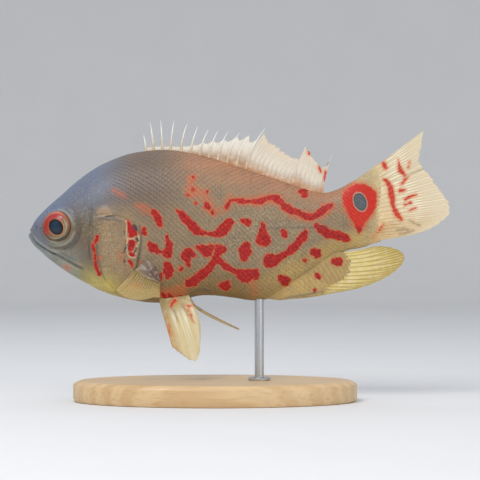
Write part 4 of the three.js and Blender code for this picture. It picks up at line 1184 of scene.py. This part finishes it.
spiny_parts = [
    fin_mesh("web", spiny_web, 264, 34, lambda u, v: 0.17 + 0.5 * (1 - v) ** 5 + 0 * u, spiny_values)
]
for root_x, tip_xz, _ in SPINES:
    foot = back_root(np.array(float(root_x)))
    end = in_plane(*tip_xz)
    knee = rising(foot, end)
    bar_points, bar_faces = bar_mesh(
        lambda v, foot=foot, knee=knee, end=end: bezier(foot, knee, end, v * 0.995),
        lambda v: SPINE_RADIUS * (1 - 0.1 * v) * np.clip(1 - v, 0.02, 1) ** 0.5 * (1 - 0.35 * v),
    )
    near_tip = np.linspace(0, 1, 26).repeat(12)
    spiny_parts.append((bar_points, bar_faces, {
        "ground": two_tone(srgb(196, 178, 150), srgb(236, 234, 228), smooth(0.2, 0.8, near_tip))[:, None, :],
        "ray": np.full((len(bar_points), 1), 0.3),
        "flesh": np.ones((len(bar_points), 1)),
        "red_mark": np.full((len(bar_points), 1), 9.0),
    }))
spiny_finish = fin_material("spiny web", 0.72, srgb(206, 176, 140))
add_fin("back_fin_front", ["back_fin_spiny"], spiny_finish, spiny_parts)

# Back fin, rear part: soft branching rays in a cloudy web, torn into a notch, with one long broken spike
# and a last ray that stands up by the tail stalk. Brown flesh covers its foot.
SOFT_ROOTS = (92.9, 126)
SOFT_TIPS = [
    (101.2, 45), (103.4, 40.4), (105.4, 39.8), (107.8, 38), (110.4, 35.6), (113, 34.2), (115.8, 33.6),
    (117.6, 33.8), (118.9, 39.2), (120.9, 35.4), (123.2, 32.4), (125.6, 29.6), (127.8, 30.4), (130, 35),
]
SOFT_RAYS = 19
SOFT_MARKS = {
    "below the spike": [(308, 150.5, 2), (309.4, 154, 3)],
    "by the last ray": [(319, 167, 2.4), (320.4, 171.6, 2.8)],
    "last ray": [(325.4, 172, 3), (325, 180, 3.4)],
}


def soft_web(u, v):
    root = back_root(SOFT_ROOTS[0] + (SOFT_ROOTS[1] - SOFT_ROOTS[0]) * u)
    tips = along_list(SOFT_TIPS, u)
    phase = u * (SOFT_RAYS - 1)
    dip = 0.025 * np.sin(np.pi * (phase % 1)) ** 2 + torn(u, 2)
    tip = in_plane(tips[..., 0], tips[..., 1])
    points = bezier(root, rising(root, tip), tip, v * (0.985 - dip))
    points[..., 1] += 0.35 * np.sin(5 * u + 0.5) * v**1.5
    return points


def soft_values(u, v, middle):
    foot = smooth(0.55, 0.08, v * np.ones_like(u))
    return {
        "ground": two_tone(WEB_WHITE, FIN_ROOT_BROWN, foot),
        "ray": ray_ridge(u, v, SOFT_RAYS),
        "flesh": smooth(0.42, 0.05, v * np.ones_like(u)),
        "red_mark": stroke_depth(SOFT_MARKS, middle[..., 0], middle[..., 2]) + 0.2,
    }


def soft_half(u, v):
    return 0.15 + 0.2 * ray_ridge(u, v, SOFT_RAYS) * (1 - 0.5 * v) + 0.75 * (1 - v) ** 4


add_fin("back_fin_rear", ["back_fin_soft"], fin_material("soft web", 0.7, srgb(196, 172, 140)),
        [fin_mesh("web", soft_web, 270, 64, soft_half, soft_values)])

# Tail fin: a broad raised fan of branching rays, scaled flesh over its root, its upper corner drawn to a
# point and folded a little to the left. Red streaks run along the rays.
TAIL_ROOTS = (26, -4.4)
TAIL_START = 142.8
TAIL_TIPS = [
    (169, 45.4), (168.4, 41.2), (167.4, 36.6), (166.8, 32.4), (169, 29.2), (171.6, 26.2), (173.7, 23.2),
    (175.9, 20.2), (178, 17.2), (179.8, 14.2), (FISH_LENGTH, 11.6), (179.8, 9), (177.8, 7), (175, 4.9),
    (171.8, 3), (168, 1.6), (163.4, 0.3),
]
TAIL_RAYS = 21
TAIL_MARKS = {
    "top blot": [(383, 164, 5), (384.6, 168, 5.6)],
    "inner chain": [
        (383.6, 180, 4), (387, 183, 5.6), (389.6, 187.6, 7), (390.4, 194.4, 7.6), (391.4, 200.6, 6.6),
        (392, 206, 4.6), (394.4, 211.6, 6), (397.4, 216.4, 6), (400.4, 220, 3.4),
    ],
    "outer chain, top": [(397, 159.6, 2), (398, 166, 3.6), (399.6, 171.6, 6), (403.4, 175.6, 3.6)],
    "outer chain, tick": [(408.4, 162, 1.6), (407, 168, 2)],
    "outer chain, streak": [(400.4, 184.6, 3.4), (403.6, 180.4, 3.4), (407.6, 177, 2)],
    "outer chain, middle": [(399.6, 191, 5), (404, 190.4, 3.4)],
    "outer chain, fork": [(404, 199.6, 4), (408.6, 197, 4.6), (415, 195, 2.6)],
    "outer chain, dash": [(404, 205, 3.4), (409.6, 203, 3.6)],
    "outer chain, low": [(408, 211, 2.6), (414.6, 208, 2.6)],
    "streak at tail": [(383, 224.4, 2.6), (378, 230.6, 3.4), (374, 236, 2.6)],
}
TAIL_SHADES = {
    "low mottle, upper": [(396, 230, 1), (402, 229, 1.7), (407, 230, 1.2)],
    "low mottle, lower": [(399, 234.6, 0.9), (406, 232.8, 1.5), (412, 230.4, 1)],
    "low dust": [(409, 221, 0.6), (414, 223.6, 1), (418, 225.6, 0.6)],
}


def tail_web(u, v):
    root = in_plane(TAIL_START - ROOT_DEPTH, TAIL_ROOTS[0] - 1 + (TAIL_ROOTS[1] - TAIL_ROOTS[0] + 1.6) * u)
    tips = along_list(TAIL_TIPS, u)
    tip = in_plane(tips[..., 0], tips[..., 1])
    bow = 0.04 * (u - 0.5)
    knee = (root + tip) / 2
    knee[..., 0] -= (tip - root)[..., 2] * bow
    knee[..., 2] += (tip - root)[..., 0] * bow
    phase = u * (TAIL_RAYS - 1)
    dip = 0.009 * np.sin(np.pi * (phase % 1)) ** 2 + torn(u)
    points = bezier(root, knee, tip, v * (0.99 - dip))
    index = u * (len(TAIL_TIPS) - 1)
    front_fold = np.where(index < 4, -1.6 + 0.3 * index, 0)
    rear_fold = np.where(index >= 3, 0.9 * np.sin(4 * u), 0) * smooth(3, 4.5, index)
    fold = front_fold + rear_fold
    fold = fold * np.where(index < 4, smooth(4.2, 2.5, index), 1)
    points[..., 1] += fold * v * v
    return points


def tail_ray(u, v):
    return ray_ridge(u, v, TAIL_RAYS, 0.14, (0.3, 0.6))


def tail_half(u, v):
    foot = np.clip(1 - v * 1.6, 0, 1) ** 2 * np.sin(np.pi * (0.04 + 0.92 * u)) ** 0.7
    return 0.16 + 0.2 * tail_ray(u, v) * (1 - 0.55 * v) * smooth(0.02, 0.25, v) + 0.8 * foot


def tail_values(u, v, middle):
    x, z = middle[..., 0], middle[..., 2]
    body = painted(in_plane(x, z, -1.0))
    full_v = v * np.ones_like(u)
    web = two_tone(srgb(222, 196, 148), srgb(250, 242, 214), smooth(0.18, 0.7, full_v))
    web = two_tone((1, 1, 1), (0.8, 0.66, 0.48), smooth(14, 2, z) * smooth(1.1, 0.6, full_v)) * web
    flesh = smooth(0.42, 0.16, full_v + 0.05 * np.sin(17 * u))
    onto = smooth(0.1, 0.36, full_v)[..., None]
    return {
        "ground": body["ground"] * (1 - onto) + web * onto,
        "ray": tail_ray(u, v),
        "flesh": flesh,
        "red_mark": np.minimum(
            stroke_depth(TAIL_MARKS, x, z) + 0.35, body["red_mark"] + 3 * smooth(152, 156, x)
        ),
        "shade_mark": stroke_depth(TAIL_SHADES, x, z),
    }


tail_finish = fin_material("tail web", 0.8, srgb(172, 136, 84))
add_fin("tail_fan", ["tail_fin"], tail_finish, [fin_mesh("web", tail_web, 340, 96, tail_half, tail_values)])

# Anal fin: a long yellow blade that trails below the tail stalk. Its front half is thick scaled flesh that
# carries the belly's colours, and brown-edged rays fan out of it to a rounded tip.
ANAL_ROOTS = (101, 131.4)
ANAL_TIPS = [
    (107.6, -27.6), (112.8, -27), (118.2, -26.6), (124, -25.8), (129.6, -24.7), (135, -23.7), (140.6, -22.6),
    (145.8, -21), (150.6, -19), (154.4, -16.9), (157.4, -14.7), (159.9, -12.4), (161.2, -9.4), (160.6, -7.3),
    (158.2, -5.6), (154.6, -4.6), (150.6, -4.2), (147.2, -4.4),
]
ANAL_RAYS = 18
FLESH_EDGE = curved([
    (124, -27), (125.3, -24), (128, -20.6), (132, -18.4), (135.4, -14), (135.6, -10.4), (131.5, -6),
])


def anal_web(u, v):
    x = ANAL_ROOTS[0] + (ANAL_ROOTS[1] - ANAL_ROOTS[0]) * u
    root = in_plane(x - ROOT_DEPTH, belly(x) + ROOT_DEPTH)
    tips = along_list(ANAL_TIPS, u)
    tip = in_plane(tips[..., 0], tips[..., 1])
    knee = (root + tip) / 2
    knee[..., 0] += (tip - root)[..., 2] * 0.1
    knee[..., 2] -= (tip - root)[..., 0] * 0.1
    phase = u * (ANAL_RAYS - 1)
    dip = 0.007 * np.sin(np.pi * (phase % 1)) ** 2 + torn(u, 0.5)
    points = bezier(root, knee, tip, v * (0.99 - dip))
    points[..., 1] += 0.3 * np.sin(6 * u) * v * v
    return points


def anal_flesh(x, z):
    away, side = from_line(FLESH_EDGE, x, z)
    return smooth(-3.2, 1.4, away * side)


def anal_ray(u, v):
    return ray_ridge(u, v, ANAL_RAYS, 0.17, (0.55, 0.8))


def anal_half(u, v):
    middle = anal_web(u, v)
    fleshy = anal_flesh(middle[..., 0], middle[..., 2])
    ridge = 0.22 * anal_ray(u, v) * (1 - 0.5 * v) * (1 - fleshy)
    return 0.17 + ridge + 1.35 * np.clip(1 - v * 1.15, 0, 1) ** 2.2 + 0.3 * fleshy * (1 - smooth(0.7, 1, v))


def anal_values(u, v, middle):
    x, z = middle[..., 0], middle[..., 2]
    body = painted(in_plane(x, z, -1.0))
    fleshy = anal_flesh(x, z)
    web = two_tone(srgb(222, 202, 128), srgb(206, 184, 104), smooth(0.6, 1, v * np.ones_like(u)))
    return {
        "ground": body["ground"] * fleshy[..., None] + web * (1 - fleshy[..., None]),
        "ray": anal_ray(u, v),
        "flesh": fleshy,
        "red_mark": body["red_mark"] + 4 * (1 - fleshy),
    }


add_fin("anal_blade", ["anal_fin"], fin_material("anal web", 0.9, srgb(140, 110, 50)),
        [fin_mesh("web", anal_web, 320, 84, anal_half, anal_values)])

ANAL_REACH = 40


def anal_side(reach, u):
    """The left face of the fin, by how far along its rays and which ray."""
    u, v = np.broadcast_arrays(np.clip(u, 0, 1), reach / ANAL_REACH)
    points = anal_web(u, v)
    points[..., 1] -= anal_half(u, v)
    return points


def anal_unwrap(roots, side):
    """Scales of the fin's root have a strip of their own under the body's unwrap."""
    start = 0.03 if side < 0 else 0.53
    return np.stack([start + 0.42 * roots[:, 0] / ANAL_REACH, 0.02 + 0.07 * roots[:, 1]], axis=-1)


fin_roots = scale_roots(anal_side, 2.0, ANAL_REACH - 2.0, np.linspace(0.02, 0.98, 200), lambda reach: -14.0)
fin_root_points = anal_side(fin_roots[:, 0], fin_roots[:, 1])
root_flesh = anal_flesh(fin_root_points[:, 0], fin_root_points[:, 2])
fleshy_there = root_flesh > draw.uniform(0.3, 0.8, len(fin_roots))
under_skin = np.abs(fin_root_points[:, 1]) < flank(fin_root_points[:, 0], fin_root_points[:, 2]) - 0.3
fin_roots = fin_roots[fleshy_there & ~under_skin]
for scale_side, side_name in ((-1, "left"), (1, "right")):
    reach = ANAL_REACH * 0.97
    scale_piece(f"scales_{side_name}_anal", fin_roots, scale_side, anal_side, anal_side, reach, anal_unwrap)

# Pelvic fins: the left one hangs down and shows its cream face, its first ray the thickest. The right one
# trails level behind the belly and shows only its edge.
LEFT_PELVIC_ROOTS = [(55.2, -28.4), (67.6, -27)]
LEFT_PELVIC_OUT = (4.2, 3.4)
LEFT_PELVIC_TIPS = [
    (61.8, -47.6), (65.8, -50.8), (69.2, -53.3), (72, -53.9), (73.3, -50.4), (73.5, -44.4), (73.4, -37.8),
]
LEFT_PELVIC_SPREAD = 6
RIGHT_PELVIC_ROOTS = [(62.5, -27.9), (67.4, -27)]
RIGHT_PELVIC_OUT = (5.4, 2.2)
RIGHT_PELVIC_KNEE = (73, -32.8)
RIGHT_PELVIC_TIPS = [(90.4, -41), (87.6, -39.9), (84, -38.3), (80.4, -36.3), (77, -34.2), (74.6, -32.2)]
RIGHT_PELVIC_TIPS_OUT = (13.6, 4.4)
PELVIC_RAYS = 7
PELVIC_MARKS = {
    "keel mark": [(175.2, 300.6, 4), (173, 303, 3.4), (171, 306, 2)],
    "rust by the root": [(186, 305, 1), (190, 306, 2), (193.4, 305, 1.6)],
    "rust streak": [(188, 309, 1), (191.6, 315, 1.6), (193, 320, 1)],
    "front edge": [(168.4, 324, 0.6), (169.6, 330, 1.2), (171.4, 335, 0.6)],
}
PELVIC_SHADES = {
    "front fold": [(172, 306, 1), (175.6, 313, 2), (179, 321, 1)],
    "middle fold": [(182, 304, 1.6), (186.6, 311, 2), (191, 318, 1.6), (195, 323, 0.6)],
    "rear fold": [(191, 301, 2), (196.6, 305.6, 2.6), (200, 309, 1)],
}


def left_pelvic_web(u, v):
    x = LEFT_PELVIC_ROOTS[0][0] + (LEFT_PELVIC_ROOTS[1][0] - LEFT_PELVIC_ROOTS[0][0]) * u
    z = LEFT_PELVIC_ROOTS[0][1] + (LEFT_PELVIC_ROOTS[1][1] - LEFT_PELVIC_ROOTS[0][1]) * u + 3
    out = LEFT_PELVIC_OUT[0] + (LEFT_PELVIC_OUT[1] - LEFT_PELVIC_OUT[0]) * u
    root = in_plane(x, z, -out)
    tips = along_list(LEFT_PELVIC_TIPS, u)
    tip = in_plane(tips[..., 0], tips[..., 1], -out - LEFT_PELVIC_SPREAD * (1 - 0.4 * u))
    bow = 0.08 * u
    knee = (root + tip) / 2
    knee[..., 0] -= (tip - root)[..., 2] * bow
    knee[..., 2] += (tip - root)[..., 0] * bow
    phase = u * (PELVIC_RAYS * 2 - 1)
    dip = 0.008 * np.sin(np.pi * (phase % 1)) ** 2 + torn(u)
    points = bezier(root, knee, tip, v * (0.985 - dip))
    points[..., 1] += 0.5 * np.sin(2 * np.pi * u * 1.5) * v * smooth(1.1, 0.5, v)
    return points


def right_pelvic_web(u, v):
    x = RIGHT_PELVIC_ROOTS[0][0] + (RIGHT_PELVIC_ROOTS[1][0] - RIGHT_PELVIC_ROOTS[0][0]) * u
    z = RIGHT_PELVIC_ROOTS[0][1] + (RIGHT_PELVIC_ROOTS[1][1] - RIGHT_PELVIC_ROOTS[0][1]) * u + 2.6
    out = RIGHT_PELVIC_OUT[0] + (RIGHT_PELVIC_OUT[1] - RIGHT_PELVIC_OUT[0]) * u
    root = in_plane(x, z, out)
    tips = along_list(RIGHT_PELVIC_TIPS, u)
    end_out = RIGHT_PELVIC_TIPS_OUT[0] + (RIGHT_PELVIC_TIPS_OUT[1] - RIGHT_PELVIC_TIPS_OUT[0]) * u
    tip = in_plane(tips[..., 0], tips[..., 1], end_out)
    bend = RIGHT_PELVIC_KNEE[0] + (x - RIGHT_PELVIC_KNEE[0]) * 0.35 * u
    knee = in_plane(bend, RIGHT_PELVIC_KNEE[1], (out + end_out) / 2)
    dip = 0.02 * np.sin(np.pi * (u * (PELVIC_RAYS * 2 - 1) % 1)) ** 2
    return bezier(root, knee, tip, v * (0.985 - dip))


def pelvic_ray(u, v):
    return ray_ridge(u, v, PELVIC_RAYS, 0.2, (0.25, 0.5))


def pelvic_half(u, v):
    lead = 0.28 * bell(u, 0.07) * (1 - 0.6 * v)
    return 0.16 + 0.26 * pelvic_ray(u, v) * (1 - 0.5 * v) + lead + 1.0 * (1 - v) ** 5


def pelvic_values(u, v, middle):
    foot = smooth(0.42, 0.12, v * np.ones_like(u))
    lines = 0.5 + 0.5 * np.sin(19 * u + 2 * v)
    front = smooth(0.3, 0.05, u * np.ones_like(v))
    web = two_tone(srgb(238, 232, 204), srgb(222, 206, 152), lines * 0.7)
    web = web * (1 - front[..., None]) + np.array(srgb(196, 160, 104)) * front[..., None]
    return {
        "ground": web * (1 - foot[..., None]) + np.array(srgb(170, 148, 100)) * foot[..., None],
        "ray": pelvic_ray(u, v),
        "flesh": np.maximum(smooth(0.3, 0.1, v * np.ones_like(u)), bell(u, 0.06) * np.ones_like(v)),
        "red_mark": stroke_depth(PELVIC_MARKS, middle[..., 0], middle[..., 2]) + 0.2,
        "shade_mark": stroke_depth(PELVIC_SHADES, middle[..., 0], middle[..., 2]) + 0.3,
    }


pelvic_finish = fin_material("pelvic web", 0.88, srgb(190, 166, 116))
add_fin("pelvic_blade_left", ["pelvic_fin_left"], pelvic_finish,
        [fin_mesh("web", left_pelvic_web, 200, 84, pelvic_half, pelvic_values)])
add_fin("pelvic_blade_right", ["pelvic_fin_right"], pelvic_finish,
        [fin_mesh("web", right_pelvic_web, 140, 70, pelvic_half, pelvic_values)])

# Pectoral fins: a purple-brown muscular root, from which fine glassy golden rays fan down and forwards, so
# clear that the belly shows through. Both are flared as the fish brakes.
PECTORAL_TOP = (50.4, -9.6)
PECTORAL_BOTTOM = (56, -17)
PECTORAL_RAYS = 15
PECTORAL_LENGTH = 27
PECTORAL_SHORTEST = 0.55
FANS = {"left": (-1, -0.72, 0.08, 0.85), "right": (1, -0.4, 0.3, 0.95)}


def pectoral_web(side, first, final, flare):
    def lines(u, v):
        angle = first + (final - first) * u
        x = PECTORAL_TOP[0] + (PECTORAL_BOTTOM[0] - PECTORAL_TOP[0]) * u
        z = PECTORAL_TOP[1] + (PECTORAL_BOTTOM[1] - PECTORAL_TOP[1]) * u
        root = in_plane(x, z, side * (flank(x, z) - ROOT_DEPTH))
        bulge = 0.82 + 0.18 * np.sin(np.pi * np.minimum(1, u + 0.2))
        size = PECTORAL_LENGTH * (1 + (PECTORAL_SHORTEST - 1) * u) * bulge + ROOT_DEPTH
        down = np.cos(angle) * math.cos(flare)
        away = in_plane(np.sin(angle) * math.cos(flare), -down, side * math.sin(flare))
        knee = root + away * (size / 2)[..., None]
        knee[..., 1] += side * 1.6
        dip = 0.018 * np.sin(np.pi * (u * (PECTORAL_RAYS * 2 - 1) % 1)) ** 2
        return bezier(root, knee, root + away * size[..., None], v * (0.985 - dip))

    return lines


def pectoral_ray(u, v):
    return ray_ridge(u, v, PECTORAL_RAYS, 0.13, (0.3, 0.55))


def pectoral_half(u, v):
    lobe = 1.5 * np.clip(1 - v * 2.6, 0, 1) ** 0.7 * np.sin(np.pi * (0.08 + 0.84 * u)) ** 0.6
    return 0.13 + 0.13 * pectoral_ray(u, v) * (1 - 0.5 * v) + lobe


def pectoral_values(u, v, middle):
    lobe = smooth(0.42, 0.3, v * np.ones_like(u))
    lobe_colour = two_tone(srgb(98, 72, 66), srgb(124, 106, 94), smooth(0.55, 0.2, u * np.ones_like(v)))
    web = two_tone(srgb(196, 170, 100), srgb(216, 196, 132), smooth(0.4, 1, v * np.ones_like(u)))
    return {
        "ground": web * (1 - lobe[..., None]) + lobe_colour * lobe[..., None],
        "ray": pectoral_ray(u, v),
        "flesh": lobe,
        "red_mark": 9 + 0 * middle[..., 0],
    }


pectoral_finish = fin_material("pectoral web", 0.1, srgb(206, 178, 116), 0.5)
for fan, (fan_side, fan_first, fan_final, fan_flare) in FANS.items():
    web = pectoral_web(fan_side, fan_first, fan_final, fan_flare)
    sheet = fin_mesh("web", web, 240, 64, pectoral_half, pectoral_values)
    add_fin(f"pectoral_fan_{fan}", [f"pectoral_fin_{fan}"], pectoral_finish, [sheet])

# Stand: a low oval base turned from pale maple and oiled, with a chamfered edge, and a satin steel rod that
# stands in a small steel collar and ends under the belly.
BASE_LENGTH, BASE_WIDTH, BASE_HEIGHT = 122, 68, 9
BASE_PROFILE = [
    (0.97, 0), (0.988, 0.25), (0.994, 0.8), (1, 1.5), (1, 7.1), (0.994, 7.7), (0.962, 8.75), (0.948, 9),
    (0.9, 9),
]
ROD_X, ROD_RADIUS = 98.6, 2
COLLAR = [(2.05, 0.02), (4.6, 0.02), (4.8, 0.3), (4.8, 0.9), (4.3, 1.4), (2.6, 1.5), (2.05, 1.5)]


def turned(name, profile, wide=1.0, deep=1.0, centre=(0, 0, 0), sides=192, capped=False):
    """A turned form from (radius, height) points, stretched to an oval, with flat ends if capped."""
    radius, height = np.array(profile, float).T
    turn = np.linspace(0, 2 * np.pi, sides, endpoint=False)
    points = np.stack([
        centre[0] + wide * radius[:, None] * np.cos(turn), centre[1] + deep * radius[:, None] * np.sin(turn),
        centre[2] + height[:, None] + 0 * turn,
    ], axis=-1)
    faces = np.asarray(quads(len(profile), sides, wrap=True)).tolist()
    if capped:
        last_ring = (len(profile) - 1) * sides
        faces += [list(range(sides))[::-1], list(range(last_ring, last_ring + sides))]
    return make_mesh(name, points, faces, fish=False)


def shade_by_angle(piece, degrees):
    """Keeps edges sharper than this angle crisp."""
    piece.data.set_sharp_from_angle(angle=math.radians(degrees))


base = turned("stand_plinth", BASE_PROFILE, BASE_LENGTH / 2, BASE_WIDTH / 2, capped=True)
shade_by_angle(base, 28)

maple, tree, shader = new_material("oiled maple")
rings = grain(tree, 26, 3, 0.5, (0.16, 1, 1))
fibre = grain(tree, 1.1, 4, 0.65, (0.05, 1, 1))
pores = grain(tree, 0.5, 2, 0.5, (0.12, 1, 1))
bands = node(tree, "ShaderNodeTexWave", wave_type="BANDS", bands_direction="Y", wave_profile="SIN")
bands.inputs["Scale"].default_value = 60
bands.inputs["Distortion"].default_value = 7
bands.inputs["Detail"].default_value = 3
bands.inputs["Detail Scale"].default_value = 0.8
stretched = node(tree, "ShaderNodeVectorMath", operation="MULTIPLY")
feed(tree, node(tree, "ShaderNodeTexCoord").outputs["Object"], stretched.inputs[0])
stretched.inputs[1].default_value = (0.25, 1, 1)
feed(tree, stretched.outputs[0], bands.inputs["Vector"])
banding = ramp(tree, bands.outputs["Fac"], 0.25, 0.85, 0, 0.5)
wood = blend(tree, banding, srgb(214, 182, 136), srgb(190, 150, 102))
wood = blend(tree, ramp(tree, rings, 0.35, 0.7, 0, 0.4), wood, srgb(222, 194, 150))
wood = blend(tree, ramp(tree, fibre, 0.45, 0.75, 0, 0.4), wood, srgb(168, 128, 84))
wood = blend(tree, ramp(tree, pores, 0.66, 0.8, 0, 0.35), wood, srgb(132, 96, 60))
feed(tree, wood, shader.inputs["Base Color"])
feed(tree, ramp(tree, fibre, 0.3, 0.7, 0.34, 0.5), shader.inputs["Roughness"])
wood_bump = node(tree, "ShaderNodeBump")
wood_bump.inputs["Strength"].default_value = 0.12
wood_bump.inputs["Distance"].default_value = 0.1 * MM
feed(tree, fibre, wood_bump.inputs["Height"])
feed(tree, wood_bump.outputs["Normal"], shader.inputs["Normal"])
shader.inputs["Coat Weight"].default_value = 0.2
shader.inputs["Coat Roughness"].default_value = 0.3
base.data.materials.append(maple)
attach(base, "root")
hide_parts("stand_base")

steel, tree, shader = new_material("satin steel")
brushed = grain(tree, 0.6, 3, 0.6, (1, 1, 0.06))
feed(tree, blend(tree, brushed, srgb(176, 178, 182), srgb(206, 208, 210)), shader.inputs["Base Color"])
feed(tree, ramp(tree, brushed, 0.3, 0.7, 0.26, 0.4), shader.inputs["Roughness"])
shader.inputs["Metallic"].default_value = 1.0
rod_x, belly_z = JAW_TIP[0] + ROD_X, float(JAW_TIP[2] + belly(ROD_X))
rod_profile = [
    (0.01, 0), (ROD_RADIUS, 0), (ROD_RADIUS, 0.02), (ROD_RADIUS, belly_z + 1 - BASE_HEIGHT),
    (0.01, belly_z + 1.4 - BASE_HEIGHT),
]
rod = turned("stand_upright", rod_profile, 1, 1, (rod_x, 0, BASE_HEIGHT), 64)
shade_by_angle(rod, 40)
collar = turned("stand_collar", COLLAR + COLLAR[:1], 1, 1, (rod_x, 0, BASE_HEIGHT), 72)
shade_by_angle(collar, 35)
for metal in (rod, collar):
    metal.data.materials.append(steel)
    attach(metal, "root")
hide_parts("stand_rod")

# Studio: a round pale floor that curves up far away on every side, soft boxes above and beside, and the
# camera level with the middle of the fish at the photograph's framing.
PHOTO_SIZE = 480
VIEW_CENTRE = Vector((10.7 * MM, 0, 69.28 * MM))
LENS = 135
SENSOR = 36
FLAT_RADIUS = 1100
RISE = 400
RISE_STEPS = 20
RIM_HEIGHT = 620

sweep = [(0.1, 0), (FLAT_RADIUS / 2, 0), (FLAT_RADIUS, 0)]
for i in range(1, RISE_STEPS + 1):
    angle = math.pi / 2 * i / RISE_STEPS
    sweep.append((FLAT_RADIUS + RISE * math.sin(angle), RISE - RISE * math.cos(angle)))
sweep.append((FLAT_RADIUS + RISE, RIM_HEIGHT))
studio_floor = turned("studio_floor", sweep)
paper, tree, shader = new_material("pale paper")
paper_colour = blend(tree, grain(tree, 60, 3), srgb(220, 221, 223), srgb(226, 226, 226))
feed(tree, paper_colour, shader.inputs["Base Color"])
shader.inputs["Roughness"].default_value = 0.9
shader.inputs["Specular IOR Level"].default_value = 0.1
studio_floor.data.materials.append(paper)


def soft_box(name, place_mm, watts, size_mm, tint):
    """A square soft light aimed at the middle of the fish."""
    light = bpy.data.lights.new(name, "AREA")
    light.energy = watts
    light.size = size_mm * MM
    light.color = tint
    lamp = bpy.data.objects.new(name, light)
    lamp.location = Vector(place_mm) * MM
    lamp.rotation_euler = (VIEW_CENTRE - lamp.location).to_track_quat("-Z", "Y").to_euler()
    bpy.context.scene.collection.objects.link(lamp)


soft_box("key light", place_mm=(-260, -620, 700), watts=4.7, size_mm=420, tint=(1.0, 0.99, 0.97))
soft_box("sky light", place_mm=(-160, 120, 800), watts=1.6, size_mm=700, tint=(0.86, 0.92, 1.0))
soft_box("fill light", place_mm=(520, -640, 240), watts=1.0, size_mm=500, tint=(1.0, 0.98, 0.94))

world = bpy.data.worlds.new("soft room")
world.use_nodes = True
room_light = world.node_tree.nodes["Background"]
room_light.inputs["Color"].default_value = (0.94, 0.96, 1.0, 1)
room_light.inputs["Strength"].default_value = 0.6
bpy.context.scene.world = world
bpy.context.scene.view_settings.view_transform = "Standard"

camera_data = bpy.data.cameras.new("camera")
camera_data.lens = LENS
camera_data.sensor_width = SENSOR
camera_data.clip_end = 20
camera = bpy.data.objects.new("camera", camera_data)
distance = PHOTO_SIZE * PHOTO_PIXEL * MM * LENS / SENSOR
camera.location = VIEW_CENTRE + Vector((0, -distance, 0))
camera.rotation_euler = (math.pi / 2, 0, 0)
bpy.context.scene.collection.objects.link(camera)
bpy.context.scene.camera = camera
